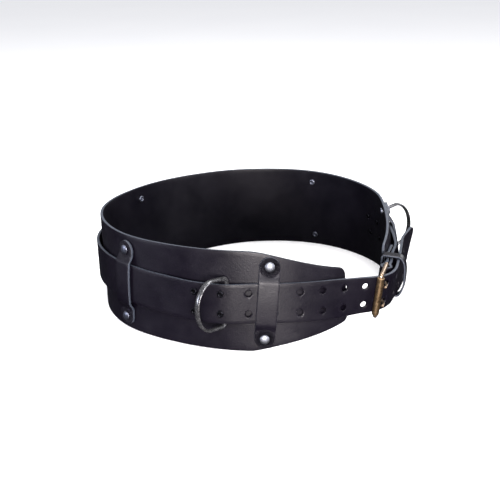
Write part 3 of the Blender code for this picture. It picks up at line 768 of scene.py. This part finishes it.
def cells(tree, vector, scale):
    node = tree.nodes.new("ShaderNodeTexVoronoi")
    node.inputs["Scale"].default_value = scale
    tree.links.new(vector, node.inputs["Vector"])
    return node.outputs["Distance"]


def ramp(tree, value, stops):
    node = tree.nodes.new("ShaderNodeValToRGB")
    marks = node.color_ramp.elements
    while len(marks) < len(stops):
        marks.new(0.5)
    for mark, (at, colour) in zip(marks, stops):
        mark.position = at
        mark.color = (*colour, 1.0)
    tree.links.new(value, node.inputs["Fac"])
    return node.outputs["Color"]


def spread(tree, value, low, high, start=0.0, stop=1.0):
    node = tree.nodes.new("ShaderNodeMapRange")
    node.inputs["From Min"].default_value = start
    node.inputs["From Max"].default_value = stop
    node.inputs["To Min"].default_value = low
    node.inputs["To Max"].default_value = high
    tree.links.new(value, node.inputs["Value"])
    return node.outputs["Result"]


def bump(tree, height, strength, distance, normal=None):
    node = tree.nodes.new("ShaderNodeBump")
    node.inputs["Strength"].default_value = strength
    node.inputs["Distance"].default_value = distance
    tree.links.new(height, node.inputs["Height"])
    if normal is not None:
        tree.links.new(normal, node.inputs["Normal"])
    return node.outputs["Normal"]


def math_node(tree, operation, one, two):
    node = tree.nodes.new("ShaderNodeMath")
    node.operation = operation
    for socket, value in zip(node.inputs, (one, two)):
        if isinstance(value, (int, float)):
            socket.default_value = value
        else:
            tree.links.new(value, socket)
    return node.outputs[0]


def leather(name, dark, light, rough, grain, specular):
    """Smooth dyed leather: fine pores, and a tone and finish that vary over centimetres."""
    made, tree, bsdf = shader(name)
    vector = coordinates(tree)
    broad = noise(tree, vector, scale=22, detail=5.0, rough=0.6, warp=0.4)
    fine = noise(tree, vector, scale=900, detail=3.0, rough=0.6)
    mottle = noise(tree, vector, scale=130, detail=4.0, rough=0.65)
    tree.links.new(ramp(tree, broad, [(0.3, dark), (0.72, light)]), bsdf.inputs["Base Color"])
    finish = math_node(tree, "ADD", spread(tree, broad, rough - 0.05, rough + 0.06, *NOISE_RANGE),
                       spread(tree, mottle, -0.04, 0.05, *NOISE_RANGE))
    tree.links.new(finish, bsdf.inputs["Roughness"])
    pores = cells(tree, vector, scale=620)
    normal = bump(tree, pores, grain * 0.5, PORE_DEPTH)
    normal = bump(tree, fine, grain, PORE_DEPTH, normal)
    normal = bump(tree, mottle, grain * 0.4, MOTTLE_DEPTH, normal)
    tree.links.new(normal, bsdf.inputs["Normal"])
    bsdf.inputs["Specular IOR Level"].default_value = specular
    return made


def metal(name, dark, light, rough, pit, scale, dents=0.0, metallic=1.0):
    """Metal with a mottled tone, a finish that varies finely, small pits and dents."""
    made, tree, bsdf = shader(name)
    vector = coordinates(tree)
    tone = noise(tree, vector, scale, detail=6.0, rough=0.7, warp=0.6)
    fine = noise(tree, vector, scale * 5, detail=3.0, rough=0.6)
    tree.links.new(ramp(tree, tone, [(0.36, dark), (0.62, light)]), bsdf.inputs["Base Color"])
    finish = spread(tree, fine, rough - 0.1, rough + 0.14, *NOISE_RANGE)
    tree.links.new(finish, bsdf.inputs["Roughness"])
    normal = bump(tree, fine, pit, WEAR_DEPTH)
    if dents:
        normal = bump(tree, tone, dents, DENT_DEPTH, normal)
    tree.links.new(normal, bsdf.inputs["Normal"])
    bsdf.inputs["Metallic"].default_value = metallic
    return made


def edge_leather(name, dark, light, rough):
    """The cut edge: paler, partly from the cut leather's own lighter tone and partly from a painted
    sheen, with short fibres.
    """
    made, tree, bsdf = shader(name)
    vector = coordinates(tree)
    fibre = noise(tree, coordinates(tree, (1, 1, 3)), scale=480, detail=5.0, rough=0.7, warp=0.5)
    broad = noise(tree, vector, scale=60, detail=3.0, rough=0.5)
    tree.links.new(ramp(tree, fibre, [(0.3, dark), (0.7, light)]), bsdf.inputs["Base Color"])
    finish = spread(tree, broad, rough - 0.08, rough + 0.1, *NOISE_RANGE)
    tree.links.new(finish, bsdf.inputs["Roughness"])
    tree.links.new(bump(tree, fibre, 0.6, FIBRE_DEPTH), bsdf.inputs["Normal"])
    return made


outer_leather = leather(
    "smooth black leather", dark=(0.0018, 0.0012, 0.0034), light=(0.004, 0.0031, 0.0062),
    rough=0.4, grain=0.9, specular=0.2)
inner_leather = leather(
    "inner black leather", dark=(0.0009, 0.0006, 0.002), light=(0.0024, 0.0019, 0.0042),
    rough=0.4, grain=0.5, specular=0.26)
# The cut edge's pale colour is partly the cut leather's own lighter tone and partly a painted
# sheen, standing in for light caught on the burnished edge.
cut_edge_with_sheen = edge_leather(
    "cut leather edge with painted sheen", dark=(0.012, 0.015, 0.022), light=(0.038, 0.046, 0.064), rough=0.55)
nickel = metal(
    "bright nickel", dark=(0.16, 0.17, 0.19), light=(0.22, 0.23, 0.26),
    rough=0.46, pit=0.01, scale=180)
dull_nickel = metal(
    "dull nickel", dark=(0.09, 0.096, 0.125), light=(0.17, 0.18, 0.22),
    rough=0.42, pit=0.2, scale=220)
aged_steel = metal(
    "aged steel", dark=(0.025, 0.025, 0.028), light=(0.14, 0.14, 0.145),
    rough=0.26, pit=0.12, scale=420, dents=0.1, metallic=0.8)
old_brass = metal(
    "old brass", dark=(0.26, 0.18, 0.12), light=(0.44, 0.34, 0.25),
    rough=0.36, pit=0.08, scale=240, dents=0.03)
mottled_brass = metal(
    "mottled brass", dark=(0.09, 0.058, 0.03), light=(0.3, 0.205, 0.115),
    rough=0.42, pit=0.4, scale=480, dents=0.2)
black_metal = metal(
    "blackened steel", dark=(0.004, 0.004, 0.005), light=(0.016, 0.016, 0.02),
    rough=0.35, pit=0.4, scale=300)
LEATHERS = (outer_leather, cut_edge_with_sheen, inner_leather)


# Panel

def panel_stations():
    """Stations along the panel. Where it has its full height, it stands on the ground."""
    fine = np.linspace(PANEL_START, PANEL_STOP, PANEL_SAMPLES)
    points = [waist_point(turn) for turn in fine]
    steps = [(b - a).length for a, b in zip(points, points[1:])]
    run = np.concatenate([[0.0], np.cumsum(steps)])
    near = [PANEL_CORNER * share for share in PANEL_END_SHARES]
    past = PANEL_CORNER * PANEL_PAST_CORNER
    middle = np.linspace(past, run[-1] - past, int(run[-1] / FINE_STEP))
    stations = []
    for distance in near + list(middle) + [run[-1] - d for d in reversed(near)]:
        half = panel_half(min(distance, run[-1] - distance))
        place = wall(float(np.interp(distance, run, fine)))
        low = -half
        if half > PANEL_WIDTH / 2 - PANEL_FULL_MARGIN:
            ground = (GAP - place.translation.z) / place.col[1].z
            low = max(-half - PANEL_FLOOR_REACH, ground)
        stations.append((place, low, half, 0.0))
    return stations


def make_panel():
    panel = strip("panel", panel_stations(), LEATHER, PANEL_COLUMNS)
    big = [TO_ROW @ place for _, turn, skew in KEEPERS for place in rivet_places(turn, skew)]
    small = [TO_ROW @ strap_place(turn, side) for _, turn in SMALL_RIVETS for side in (1, -1)]
    cutters = [flared_cutter(big, RIVET_SHANK + GAP, LEATHER, HOLE_FLARE, 20),
               flared_cutter(small, SMALL_SHANK + GAP, LEATHER, HOLE_FLARE, 20)]
    carve(panel, cutters, LEATHERS)
    smooth(panel, 38)
    stand_for(panel, "back_panel", BELT)


# Strap

def strap_path():
    """Fine stations of the whole strap, from its point round the waist and the hinge bar."""
    start, stop = STRAP[0][0], STRAP[-1][0]
    count = int((stop - start) / TURN_STEP)
    path = [strap_station(STRAP, turn) for turn in np.linspace(start, stop, count)]
    place = buckle_place()
    up = place.col[1].to_3d()
    for angle in np.linspace(FOLD_SWEEP, 360 - FOLD_SWEEP, FOLD_STEPS):
        x = buckle_reach() + FOLD_RADIUS * cos(radians(angle))
        path.append((place @ Vector((x, 0, FOLD_RADIUS * sin(radians(angle)))), up))
    start, stop = FOLD_BACK[0][0], FOLD_BACK[-1][0]
    count = int((stop - start) / TURN_STEP)
    path += [strap_station(FOLD_BACK, turn) for turn in np.linspace(stop, start, count)]
    return path


def make_strap():
    path = strap_path()
    total = lengths(path)
    half = STRAP_WIDTH / 2
    stations = []
    for t in STRAP_TIP_SHARES:
        width = half * max(sqrt(1 - (1 - t) ** 2), STRAP_TIP_LEAST)
        stations.append((path_frame(path, total, t * STRAP_POINT), -width, width, 0.0))
    for distance in total:
        if distance > STRAP_POINT + STRAP_TIP_MARGIN:
            stations.append((path_frame(path, total, distance), -half, half, 0.0))
    strap = strip("belt_strap", stations, LEATHER, STRAP_COLUMNS)
    start = first_hole_distance(path, total)
    columns = [path_frame(path, total, hole_distance(start, k))
               for k in range(WIDE_PITCHES + CLOSE_PITCHES + 1)]
    holes = [TO_ROW @ place @ Matrix.Translation((0, side * ROW_SPACING / 2, 0))
             for place in columns for side in (1, -1)]
    small = []
    for _, turn in SMALL_RIVETS:
        out = monotone(STRAP, turn)[0]
        small += [TO_ROW @ strap_place(turn, side) @ Matrix.Translation((0, 0, out))
                  for side in (1, -1)]
    between = Matrix.Translation((0, 0, -FOLD_RIVET_DEPTH / 2))
    fold = [TO_ROW @ fold_rivet_place(side) @ between for side in (1, -1)]
    buckle = TO_ROW @ buckle_place()
    rows = [buckle @ Matrix.Translation((0, side * ROW_SPACING / 2, 0)) for side in (1, -1)]
    slots = [row @ Matrix.Translation((buckle_reach() + SLOT_SHIFT, 0, 0)) for row in rows]
    passes = [row @ prong_pass() for row in rows]
    cutters = [flared_cutter(holes, HOLE_RADIUS, LEATHER, HOLE_FLARE),
               flared_cutter(small, SMALL_SHANK + GAP, LEATHER, HOLE_FLARE, 20),
               flared_cutter(fold, SMALL_SHANK + GAP, FOLD_THROUGH, THIN, 16),
               box_cutter(slots, SLOT_SIZE),
               flared_cutter(passes, PRONG_RADIUS + 4 * GAP, PRONG_PASS - 2 * CUT_PAST, THIN, 16)]
    carve(strap, cutters, LEATHERS)
    smooth(strap, 38)
    stand_for(strap, "strap", BELT)


# Keepers

def make_keeper(name, turn, skew):
    offset, _, rise = monotone(STRAP, turn)
    rise -= waist(turn)[2]
    low = LEATHER + GAP
    high = offset + LEATHER + 2 * GAP
    half = KEEPER_LENGTH / 2
    radius = KEEPER_WIDTH / 2
    start = STRAP_WIDTH / 2 + KEEPER_CLEARANCE
    place = keeper_place(turn, skew)
    ends = [half - radius * (1 - cos(radians(a))) for a in KEEPER_END_ANGLES]
    fine_start = radius * KEEPER_FINE_START
    middle = np.arange(-half + fine_start, half - fine_start, KEEPER_FINE_STEP)
    last = half - radius * (1 - cos(radians(KEEPER_LAST_ANGLE)))
    heights = sorted([-h for h in ends] + [h for h in middle if abs(h) < last] + ends)
    turn_up = Matrix(((0, 1, 0, 0), (-1, 0, 0, 0), (0, 0, 1, 0), (0, 0, 0, 1)))
    stations = []
    for h in heights:
        past = max(abs(h) - (half - radius), 0)
        width = max(sqrt(max(radius ** 2 - past ** 2, 0)), KEEPER_LEAST)
        out = high + (low - high) * eased((abs(h - rise) - start) / KEEPER_STEP)
        out += KEEPER_CROWN * max(1 - (abs(h - rise) / (start + KEEPER_STEP / 2)) ** 2, 0)
        away = min(abs(abs(h) - RIVET_HEIGHT) / RIVET_CAP, PRESS_REACH)
        out -= PRESS_DEPTH * (0.5 + 0.5 * cos(pi * min(away / PRESS_REACH, 1)))
        stations.append((place @ Matrix.Translation((0, h, 0)) @ turn_up, -width, width, out))
    keeper = strip("keeper_" + name + "_leather", stations, LEATHER, KEEPER_COLUMNS)
    holes = [TO_ROW @ p @ Matrix.Translation((0, 0, low)) for p in rivet_places(turn, skew)]
    cutter = flared_cutter(holes, RIVET_SHANK + GAP, LEATHER, HOLE_FLARE, 20)
    carve(keeper, [cutter], KEEPER_LEATHERS[name])
    smooth(keeper, 38)
    stand_for(keeper, "keeper_" + name, BELT)


def pleated_leather(name, places, strength):
    """The smooth leather with fine pleats that radiate from each rivet's cap, and a hollow
    under it. Both are bump in the material, and the mesh has only a slight hollow.
    """
    made = outer_leather.copy()
    made.name = name
    tree = made.node_tree
    bsdf = tree.nodes["Principled BSDF"]
    normal = bsdf.inputs["Normal"].links[0].from_socket
    for place in places:
        inverse = (TO_ROW @ place).inverted()
        where = tree.nodes.new("ShaderNodeTexCoord")
        mapping = tree.nodes.new("ShaderNodeMapping")
        mapping.inputs["Location"].default_value = inverse.translation
        mapping.inputs["Rotation"].default_value = inverse.to_euler("XYZ")
        tree.links.new(where.outputs["Object"], mapping.inputs["Vector"])
        split = tree.nodes.new("ShaderNodeSeparateXYZ")
        tree.links.new(mapping.outputs["Vector"], split.inputs["Vector"])
        angle = math_node(tree, "ARCTAN2", split.outputs["X"], split.outputs["Y"])
        flat = tree.nodes.new("ShaderNodeCombineXYZ")
        tree.links.new(split.outputs["X"], flat.inputs["X"])
        tree.links.new(split.outputs["Y"], flat.inputs["Y"])
        length = tree.nodes.new("ShaderNodeVectorMath")
        length.operation = "LENGTH"
        tree.links.new(flat.outputs["Vector"], length.inputs[0])
        distance = length.outputs["Value"]
        wobble = noise(tree, mapping.outputs["Vector"], scale=500, detail=2.0, rough=0.5)
        sway = spread(tree, wobble, -PLEAT_SWAY, PLEAT_SWAY, *NOISE_RANGE)
        swayed = math_node(tree, "ADD", angle, sway)
        waves = math_node(tree, "SINE", math_node(tree, "MULTIPLY", swayed, PLEAT_COUNT), 0.0)
        near, far = (RIVET_CAP * share for share in PLEAT_START)
        fade_in = spread(tree, distance, 0.0, 1.0, near, far)
        near, far = (RIVET_CAP * share for share in PLEAT_END)
        fade_out = spread(tree, distance, 1.0, 0.0, near, far)
        mask = math_node(tree, "MULTIPLY", fade_in, fade_out)
        ridge = math_node(tree, "MULTIPLY", waves, mask)
        normal = bump(tree, ridge, strength, PLEAT_DEPTH, normal)
        near, far = (RIVET_CAP * share for share in HOLLOW)
        dent = spread(tree, distance, 0.0, 1.0, near, far)
        normal = bump(tree, dent, HOLLOW_STRENGTH, HOLLOW_DEPTH, normal)
    tree.links.new(normal, bsdf.inputs["Normal"])
    return made


KEEPER_LEATHERS = {}
for keeper_name, keeper_turn, keeper_skew in KEEPERS:
    pleats = FRONT_PLEATS if keeper_name == "front_right" else OTHER_PLEATS
    face = pleated_leather(
        "keeper leather " + keeper_name, rivet_places(keeper_turn, keeper_skew), pleats)
    KEEPER_LEATHERS[keeper_name] = (face, cut_edge_with_sheen, inner_leather)


# Rivets

def dome(radius, seat, rise):
    """A domed cap's profile, from its top to its seat."""
    steps = [(radius * sin(radians(a)), seat + CAP_RIM + (rise - CAP_RIM) * cos(radians(a)))
             for a in range(0, 91, 9)]
    foot = CAP_RIM * CAP_FOOT
    return steps + [(radius, seat + foot), (radius - foot, seat)]


def roll(level, side, radius, bore):
    """The rolled end of a tubular rivet with its blind bore, from its rim to the bore's floor."""
    middle = (radius + bore) / 2
    reach = (radius - bore) / 2
    curl = []
    for a in range(0, 181, 20):
        high = ROLL_HEIGHT * (ROLL_FOOT + (1 - ROLL_FOOT) * sin(radians(a)))
        curl.append((middle + reach * cos(radians(a)), level + side * high))
    bottom = level + side * (ROLL_HEIGHT - BORE_DEPTH * BORE_SINK)
    return [(radius, level)] + curl + [(bore * BORE_SHARE, bottom), (0.0, bottom)]


def make_keeper_rivets(name, turn, skew):
    seat = LEATHER * 1.5 + 2 * GAP
    inner = -LEATHER / 2 - 2 * GAP
    profile = dome(RIVET_CAP, seat, RIVET_DOME) + [(RIVET_SHANK, seat), (RIVET_SHANK, inner)]
    profile += roll(inner, -1, RIVET_ROLL, RIVET_BORE)
    bright = nickel if name in ("front_right", "back_right", "buckle_side") else dull_nickel
    for place, label in zip(rivet_places(turn, skew), ("top", "bottom")):
        node = "rivet_" + name + "_" + label
        item = turned("cap_" + name + "_" + label, profile, place, bright)
        item.data.materials.append(dull_nickel)
        for polygon in item.data.polygons:
            if polygon.center.z < 0:
                polygon.material_index = 1
        stand_for(item, node, BELT)


def make_small_rivets(name, turn):
    offset = monotone(STRAP, turn)[0]
    outer = offset + LEATHER / 2 + 3 * GAP
    inner = -LEATHER / 2 - 2 * GAP
    profile = list(reversed(roll(outer, 1, SMALL_HEAD, SMALL_BORE)))
    profile += [(SMALL_SHANK, outer), (SMALL_SHANK, inner), (SMALL_HEAD - SMALL_RIM, inner)]
    profile += [(SMALL_HEAD * sin(radians(a)), inner - SMALL_RIM - SMALL_DOME * cos(radians(a)))
                for a in range(90, -1, -10)]
    for side, level in ((1, "upper"), (-1, "lower")):
        place = strap_place(turn, side)
        item = turned("tube_" + name + "_" + level, profile, place, black_metal, 24)
        stand_for(item, "small_rivet_" + name + "_" + level, BELT)


def make_fold_rivets():
    outer = LEATHER / 2 + 3 * GAP
    inner = -FOLD_RIVET_DEPTH - outer
    top = [(FOLD_HEAD * sin(radians(a)), outer + FOLD_DOME * cos(radians(a)))
           for a in range(0, 91, 10)]
    low = [(FOLD_HEAD * sin(radians(a)), inner - FOLD_DOME * cos(radians(a)))
           for a in range(90, -1, -10)]
    profile = top + [(SMALL_SHANK, outer), (SMALL_SHANK, inner)] + low
    for side, level in ((1, "upper"), (-1, "lower")):
        item = turned("stud_" + level, profile, fold_rivet_place(side), black_metal, 24)
        stand_for(item, "fold_rivet_" + level, BELT)


# Rings, buckle and loop

def ring_outline():
    inner = D_HALF - D_CORNER
    bar = [(0.0, y, 0.0) for y in np.linspace(inner, -inner, 24)]
    low = arc(D_CORNER, -inner, D_CORNER, 180, 180 + D_CORNER_SWEEP, 10)[1:]
    high = arc(D_CORNER, inner, D_CORNER, 180 - D_CORNER_SWEEP, 180, 10)[:-1]
    bow = []
    for t in np.radians(np.linspace(-D_BOW_SWEEP, D_BOW_SWEEP, 72)):
        bow.append((D_LEG + (D_DEPTH - D_LEG) * cos(t),
                    D_HALF * sin(t) / sin(radians(D_BOW_SWEEP)), 0.0))
    return bar + low + bow + high


def make_ring(name, turn, swing, tilt, slide):
    up = monotone(STRAP, turn)[2] - waist(turn)[2] + slide
    place = wall(turn, up, D_SEAT) @ Matrix.Rotation(radians(tilt), 4, "Z")
    place = place @ Matrix.Rotation(radians(180 + swing), 4, "Y")

    def worn(share, angle):
        return 1 + D_WEAR * sin(share * 40 + 2 * sin(angle)) * cos(3 * angle + share * 17)

    item = rod("ring_" + name, ring_outline(), place, D_WIRE, aged_steel, True, 24, worn, d_section)
    stand_for(item, "d_ring_" + name, "ring_" + name)


def make_buckle():
    place = buckle_place()
    reach = buckle_reach()
    half = ROLLER_LENGTH / 2 + GAP + WIRE
    c = BUCKLE_CORNER
    near = c / 2
    outline = arc(near, -half + near, near, 180, 270, 10)
    outline += [(x, -half, 0.0) for x in np.linspace(near, reach - c, 12)[1:-1]]
    outline += arc(reach - c, -half + c, c, 270, 360, 12)
    outline += [(reach, y, 0.0) for y in np.linspace(-half + c, half - c, 14)[1:-1]]
    outline += arc(reach - c, half - c, c, 0, 90, 12)
    outline += [(x, half, 0.0) for x in np.linspace(reach - c, near, 12)[1:-1]]
    outline += arc(near, half - near, near, 90, 180, 10)
    outline += [(0.0, y, 0.0) for y in np.linspace(half - near, near - half, 14)[1:-1]]
    wire = rod("buckle_wire", outline, place, WIRE, old_brass, True, 24)
    stand_for(wire, "buckle_frame", BELT)
    length = ROLLER_LENGTH / 2
    bevel = ROLLER_BEVEL
    side = ROLLER_RADIUS - bevel
    end = length - bevel
    profile = [(ROLLER_BORE, -length)]
    profile += [(side + bevel * sin(radians(a)), -length + bevel - bevel * cos(radians(a)))
                for a in range(0, 91, 15)]
    profile += [(ROLLER_RADIUS + ROLLER_WAVE * sin(z * 3.1), z * length / 10)
                for z in range(-9, 10)]
    profile += [(side + bevel * cos(radians(a)), end + bevel * sin(radians(a)))
                for a in range(0, 91, 15)]
    profile += [(ROLLER_BORE, length), (ROLLER_BORE, 0.0), (ROLLER_BORE, -length)]
    upright = place @ Matrix.Rotation(radians(-90), 4, "X")
    roller = turned("roller", profile, upright, mottled_brass, 40)
    stand_for(roller, "buckle_roller", BELT)
    eye = WIRE + GAP + PRONG_RADIUS
    hook = [(reach + eye * cos(radians(a)), 0.0, eye * sin(radians(a)))
            for a in range(-180, 91, 30)]
    points = rounded(hook + [(x, 0.0, z) for x, z in PRONG], 2)
    for side, label in ((1, "upper"), (-1, "lower")):
        row = place @ Matrix.Translation((0, side * ROW_SPACING / 2, 0))
        item = rod("pin_" + label, points, row, PRONG_RADIUS, old_brass)
        stand_for(item, "prong_" + label, BELT)


def make_loop():
    middle, up = strap_station(STRAP, LOOP_TURN)
    place = axes_at(middle, strap_heading(LOOP_TURN, HEADING_REACH), up)
    half = STRAP_WIDTH / 2 + LOOP_LEATHER / 2 + LOOP_MARGIN
    c = LOOP_CORNER
    back = arc(c - LOOP_INSIDE, half - c, c, 90, 180, 8)
    back += arc(c - LOOP_INSIDE, c - half, c, 180, 270, 8)
    front = [(LOOP_OUTSIDE * cos(t), half * np.sign(sin(t)) * abs(sin(t)) ** LOOP_FULLNESS, 0.0)
             for t in np.radians(np.linspace(-90, 90, 49))][1:-1]
    points = []
    for z, y, _ in back + front:
        points.append(Vector((0, y + LOOP_SKEW * max(z - LEATHER, 0.0), z)))
    stations = []
    for k, point in enumerate(points):
        along = (points[(k + 1) % len(points)] - points[k - 1]).normalized()
        out = Vector((1, 0, 0)).cross(along)
        axes = Matrix((-along, Vector((1, 0, 0)), -out)).transposed().to_4x4()
        station = place @ Matrix.Translation(point) @ axes
        stations.append((station, -LOOP_WIDTH / 2, LOOP_WIDTH / 2, 0.0))
    loop = strip("loop_leather", stations, LOOP_LEATHER, LOOP_COLUMNS, closed=True)
    for mat in LEATHERS:
        loop.data.materials.append(mat)
    smooth(loop, 38)
    stand_for(loop, "keeper_loop", BELT)


make_panel()
make_strap()
for keeper_name, keeper_turn, keeper_skew in KEEPERS:
    make_keeper(keeper_name, keeper_turn, keeper_skew)
    make_keeper_rivets(keeper_name, keeper_turn, keeper_skew)
for rivet_name, rivet_turn in SMALL_RIVETS:
    make_small_rivets(rivet_name, rivet_turn)
make_fold_rivets()
for ring in D_RINGS:
    make_ring(*ring)
make_buckle()
make_loop()


# Camera, light and floor

# The camera as solved from the photo: place before the model is centred, tilt down and
# roll in radians
CAMERA_SENSOR = 36
CAMERA_LENS = 65.24
CAMERA_PLACE = (0, -0.941, 0.394767)
CAMERA_DOWN = 0.35414194
CAMERA_ROLL = -0.02114296

# Lights: name, place, target, size, power, colour
LIGHTS = (
    ("top light", (0.1, 0.2, 1.6), (0, 0, 0), (1.2, 0.9), 34, (1, 1, 1)),
    ("front light", (0.03, -1.35, 0.24), (0.0, -0.1, 0.05), (0.34, 0.32), 34, (1.0, 0.94, 0.94)),
    ("high front light", (0.1, -1.3, 1.2), (0.0, -0.1, 0.05), (0.6, 0.4), 22, (1.0, 0.97, 0.99)),
    ("left light", (-1.4, -0.45, 0.3), (0, 0, 0.05), (0.4, 0.4), 12, (0.82, 0.86, 1.0)),
    ("rear light", (1.0, 1.0, 0.6), (-0.15, 0, 0.08), (0.6, 0.5), 6, (0.95, 0.97, 1.0)),
    ("right light", (1.3, -0.9, 0.5), (0.15, 0, 0.06), (0.4, 0.4), 16, (0.95, 0.94, 1.0)),
)

FLOOR_SIZE = 12
FLOOR_DROP = 0.0004
FLOOR_GLOW = 0.2


def pointing(location, target):
    turn = (target - location).normalized().to_track_quat("-Z", "Y").to_matrix().to_4x4()
    return Matrix.Translation(location) @ turn


def make_camera():
    data = bpy.data.cameras.new("camera")
    data.sensor_width = CAMERA_SENSOR
    data.lens = CAMERA_LENS
    camera = bpy.data.objects.new("camera", data)
    bpy.context.scene.collection.objects.link(camera)
    location = Vector(CAMERA_PLACE) - Vector(MIDDLE)
    ahead = Vector((0, cos(CAMERA_DOWN), -sin(CAMERA_DOWN)))
    roll = Matrix.Rotation(CAMERA_ROLL, 4, "Z")
    camera.matrix_world = pointing(location, location + ahead) @ roll
    bpy.context.scene.camera = camera


def softbox(name, location, target, size, power, colour):
    data = bpy.data.lights.new(name, "AREA")
    data.shape = "RECTANGLE"
    data.size, data.size_y = size
    data.energy = power
    data.color = colour
    light = bpy.data.objects.new(name, data)
    bpy.context.scene.collection.objects.link(light)
    light.matrix_world = pointing(Vector(location), Vector(target))


def make_floor():
    """A pale floor with a faint glow, kept out of reflections so that the leather stays black."""
    mesh = bpy.data.meshes.new("floor")
    build = bmesh.new()
    bmesh.ops.create_grid(build, x_segments=1, y_segments=1, size=FLOOR_SIZE)
    build.to_mesh(mesh)
    build.free()
    made, tree, bsdf = shader("pale floor")
    vector = coordinates(tree)
    tone = noise(tree, vector, scale=3.0, detail=2.0)
    pale = ramp(tree, tone, [(0.3, (0.84, 0.84, 0.845)), (0.7, (0.86, 0.86, 0.86))])
    tree.links.new(pale, bsdf.inputs["Base Color"])
    bsdf.inputs["Roughness"].default_value = 0.6
    bsdf.inputs["Emission Color"].default_value = (1, 1, 1, 1)
    bsdf.inputs["Emission Strength"].default_value = FLOOR_GLOW
    mesh.materials.append(made)
    floor = new_object("floor", mesh)
    floor.location.z = -FLOOR_DROP
    floor.visible_glossy = False


def make_world():
    """A grey sky that brightens upward."""
    world = bpy.data.worlds.new("studio")
    world.use_nodes = True
    sky = world.node_tree
    place = sky.nodes.new("ShaderNodeTexCoord")
    split = sky.nodes.new("ShaderNodeSeparateXYZ")
    sky.links.new(place.outputs["Generated"], split.inputs["Vector"])
    height = spread(sky, split.outputs["Z"], 0.0, 1.0, -0.05, 0.6)
    greys = [(0.0, (0.03, 0.03, 0.035)), (0.3, (0.25, 0.25, 0.27)), (1.0, (0.75, 0.76, 0.8))]
    sky.links.new(ramp(sky, height, greys), sky.nodes["Background"].inputs["Color"])
    bpy.context.scene.world = world


make_camera()
make_floor()
for light in LIGHTS:
    softbox(*light)
make_world()
bpy.context.scene.view_settings.view_transform = "Standard"
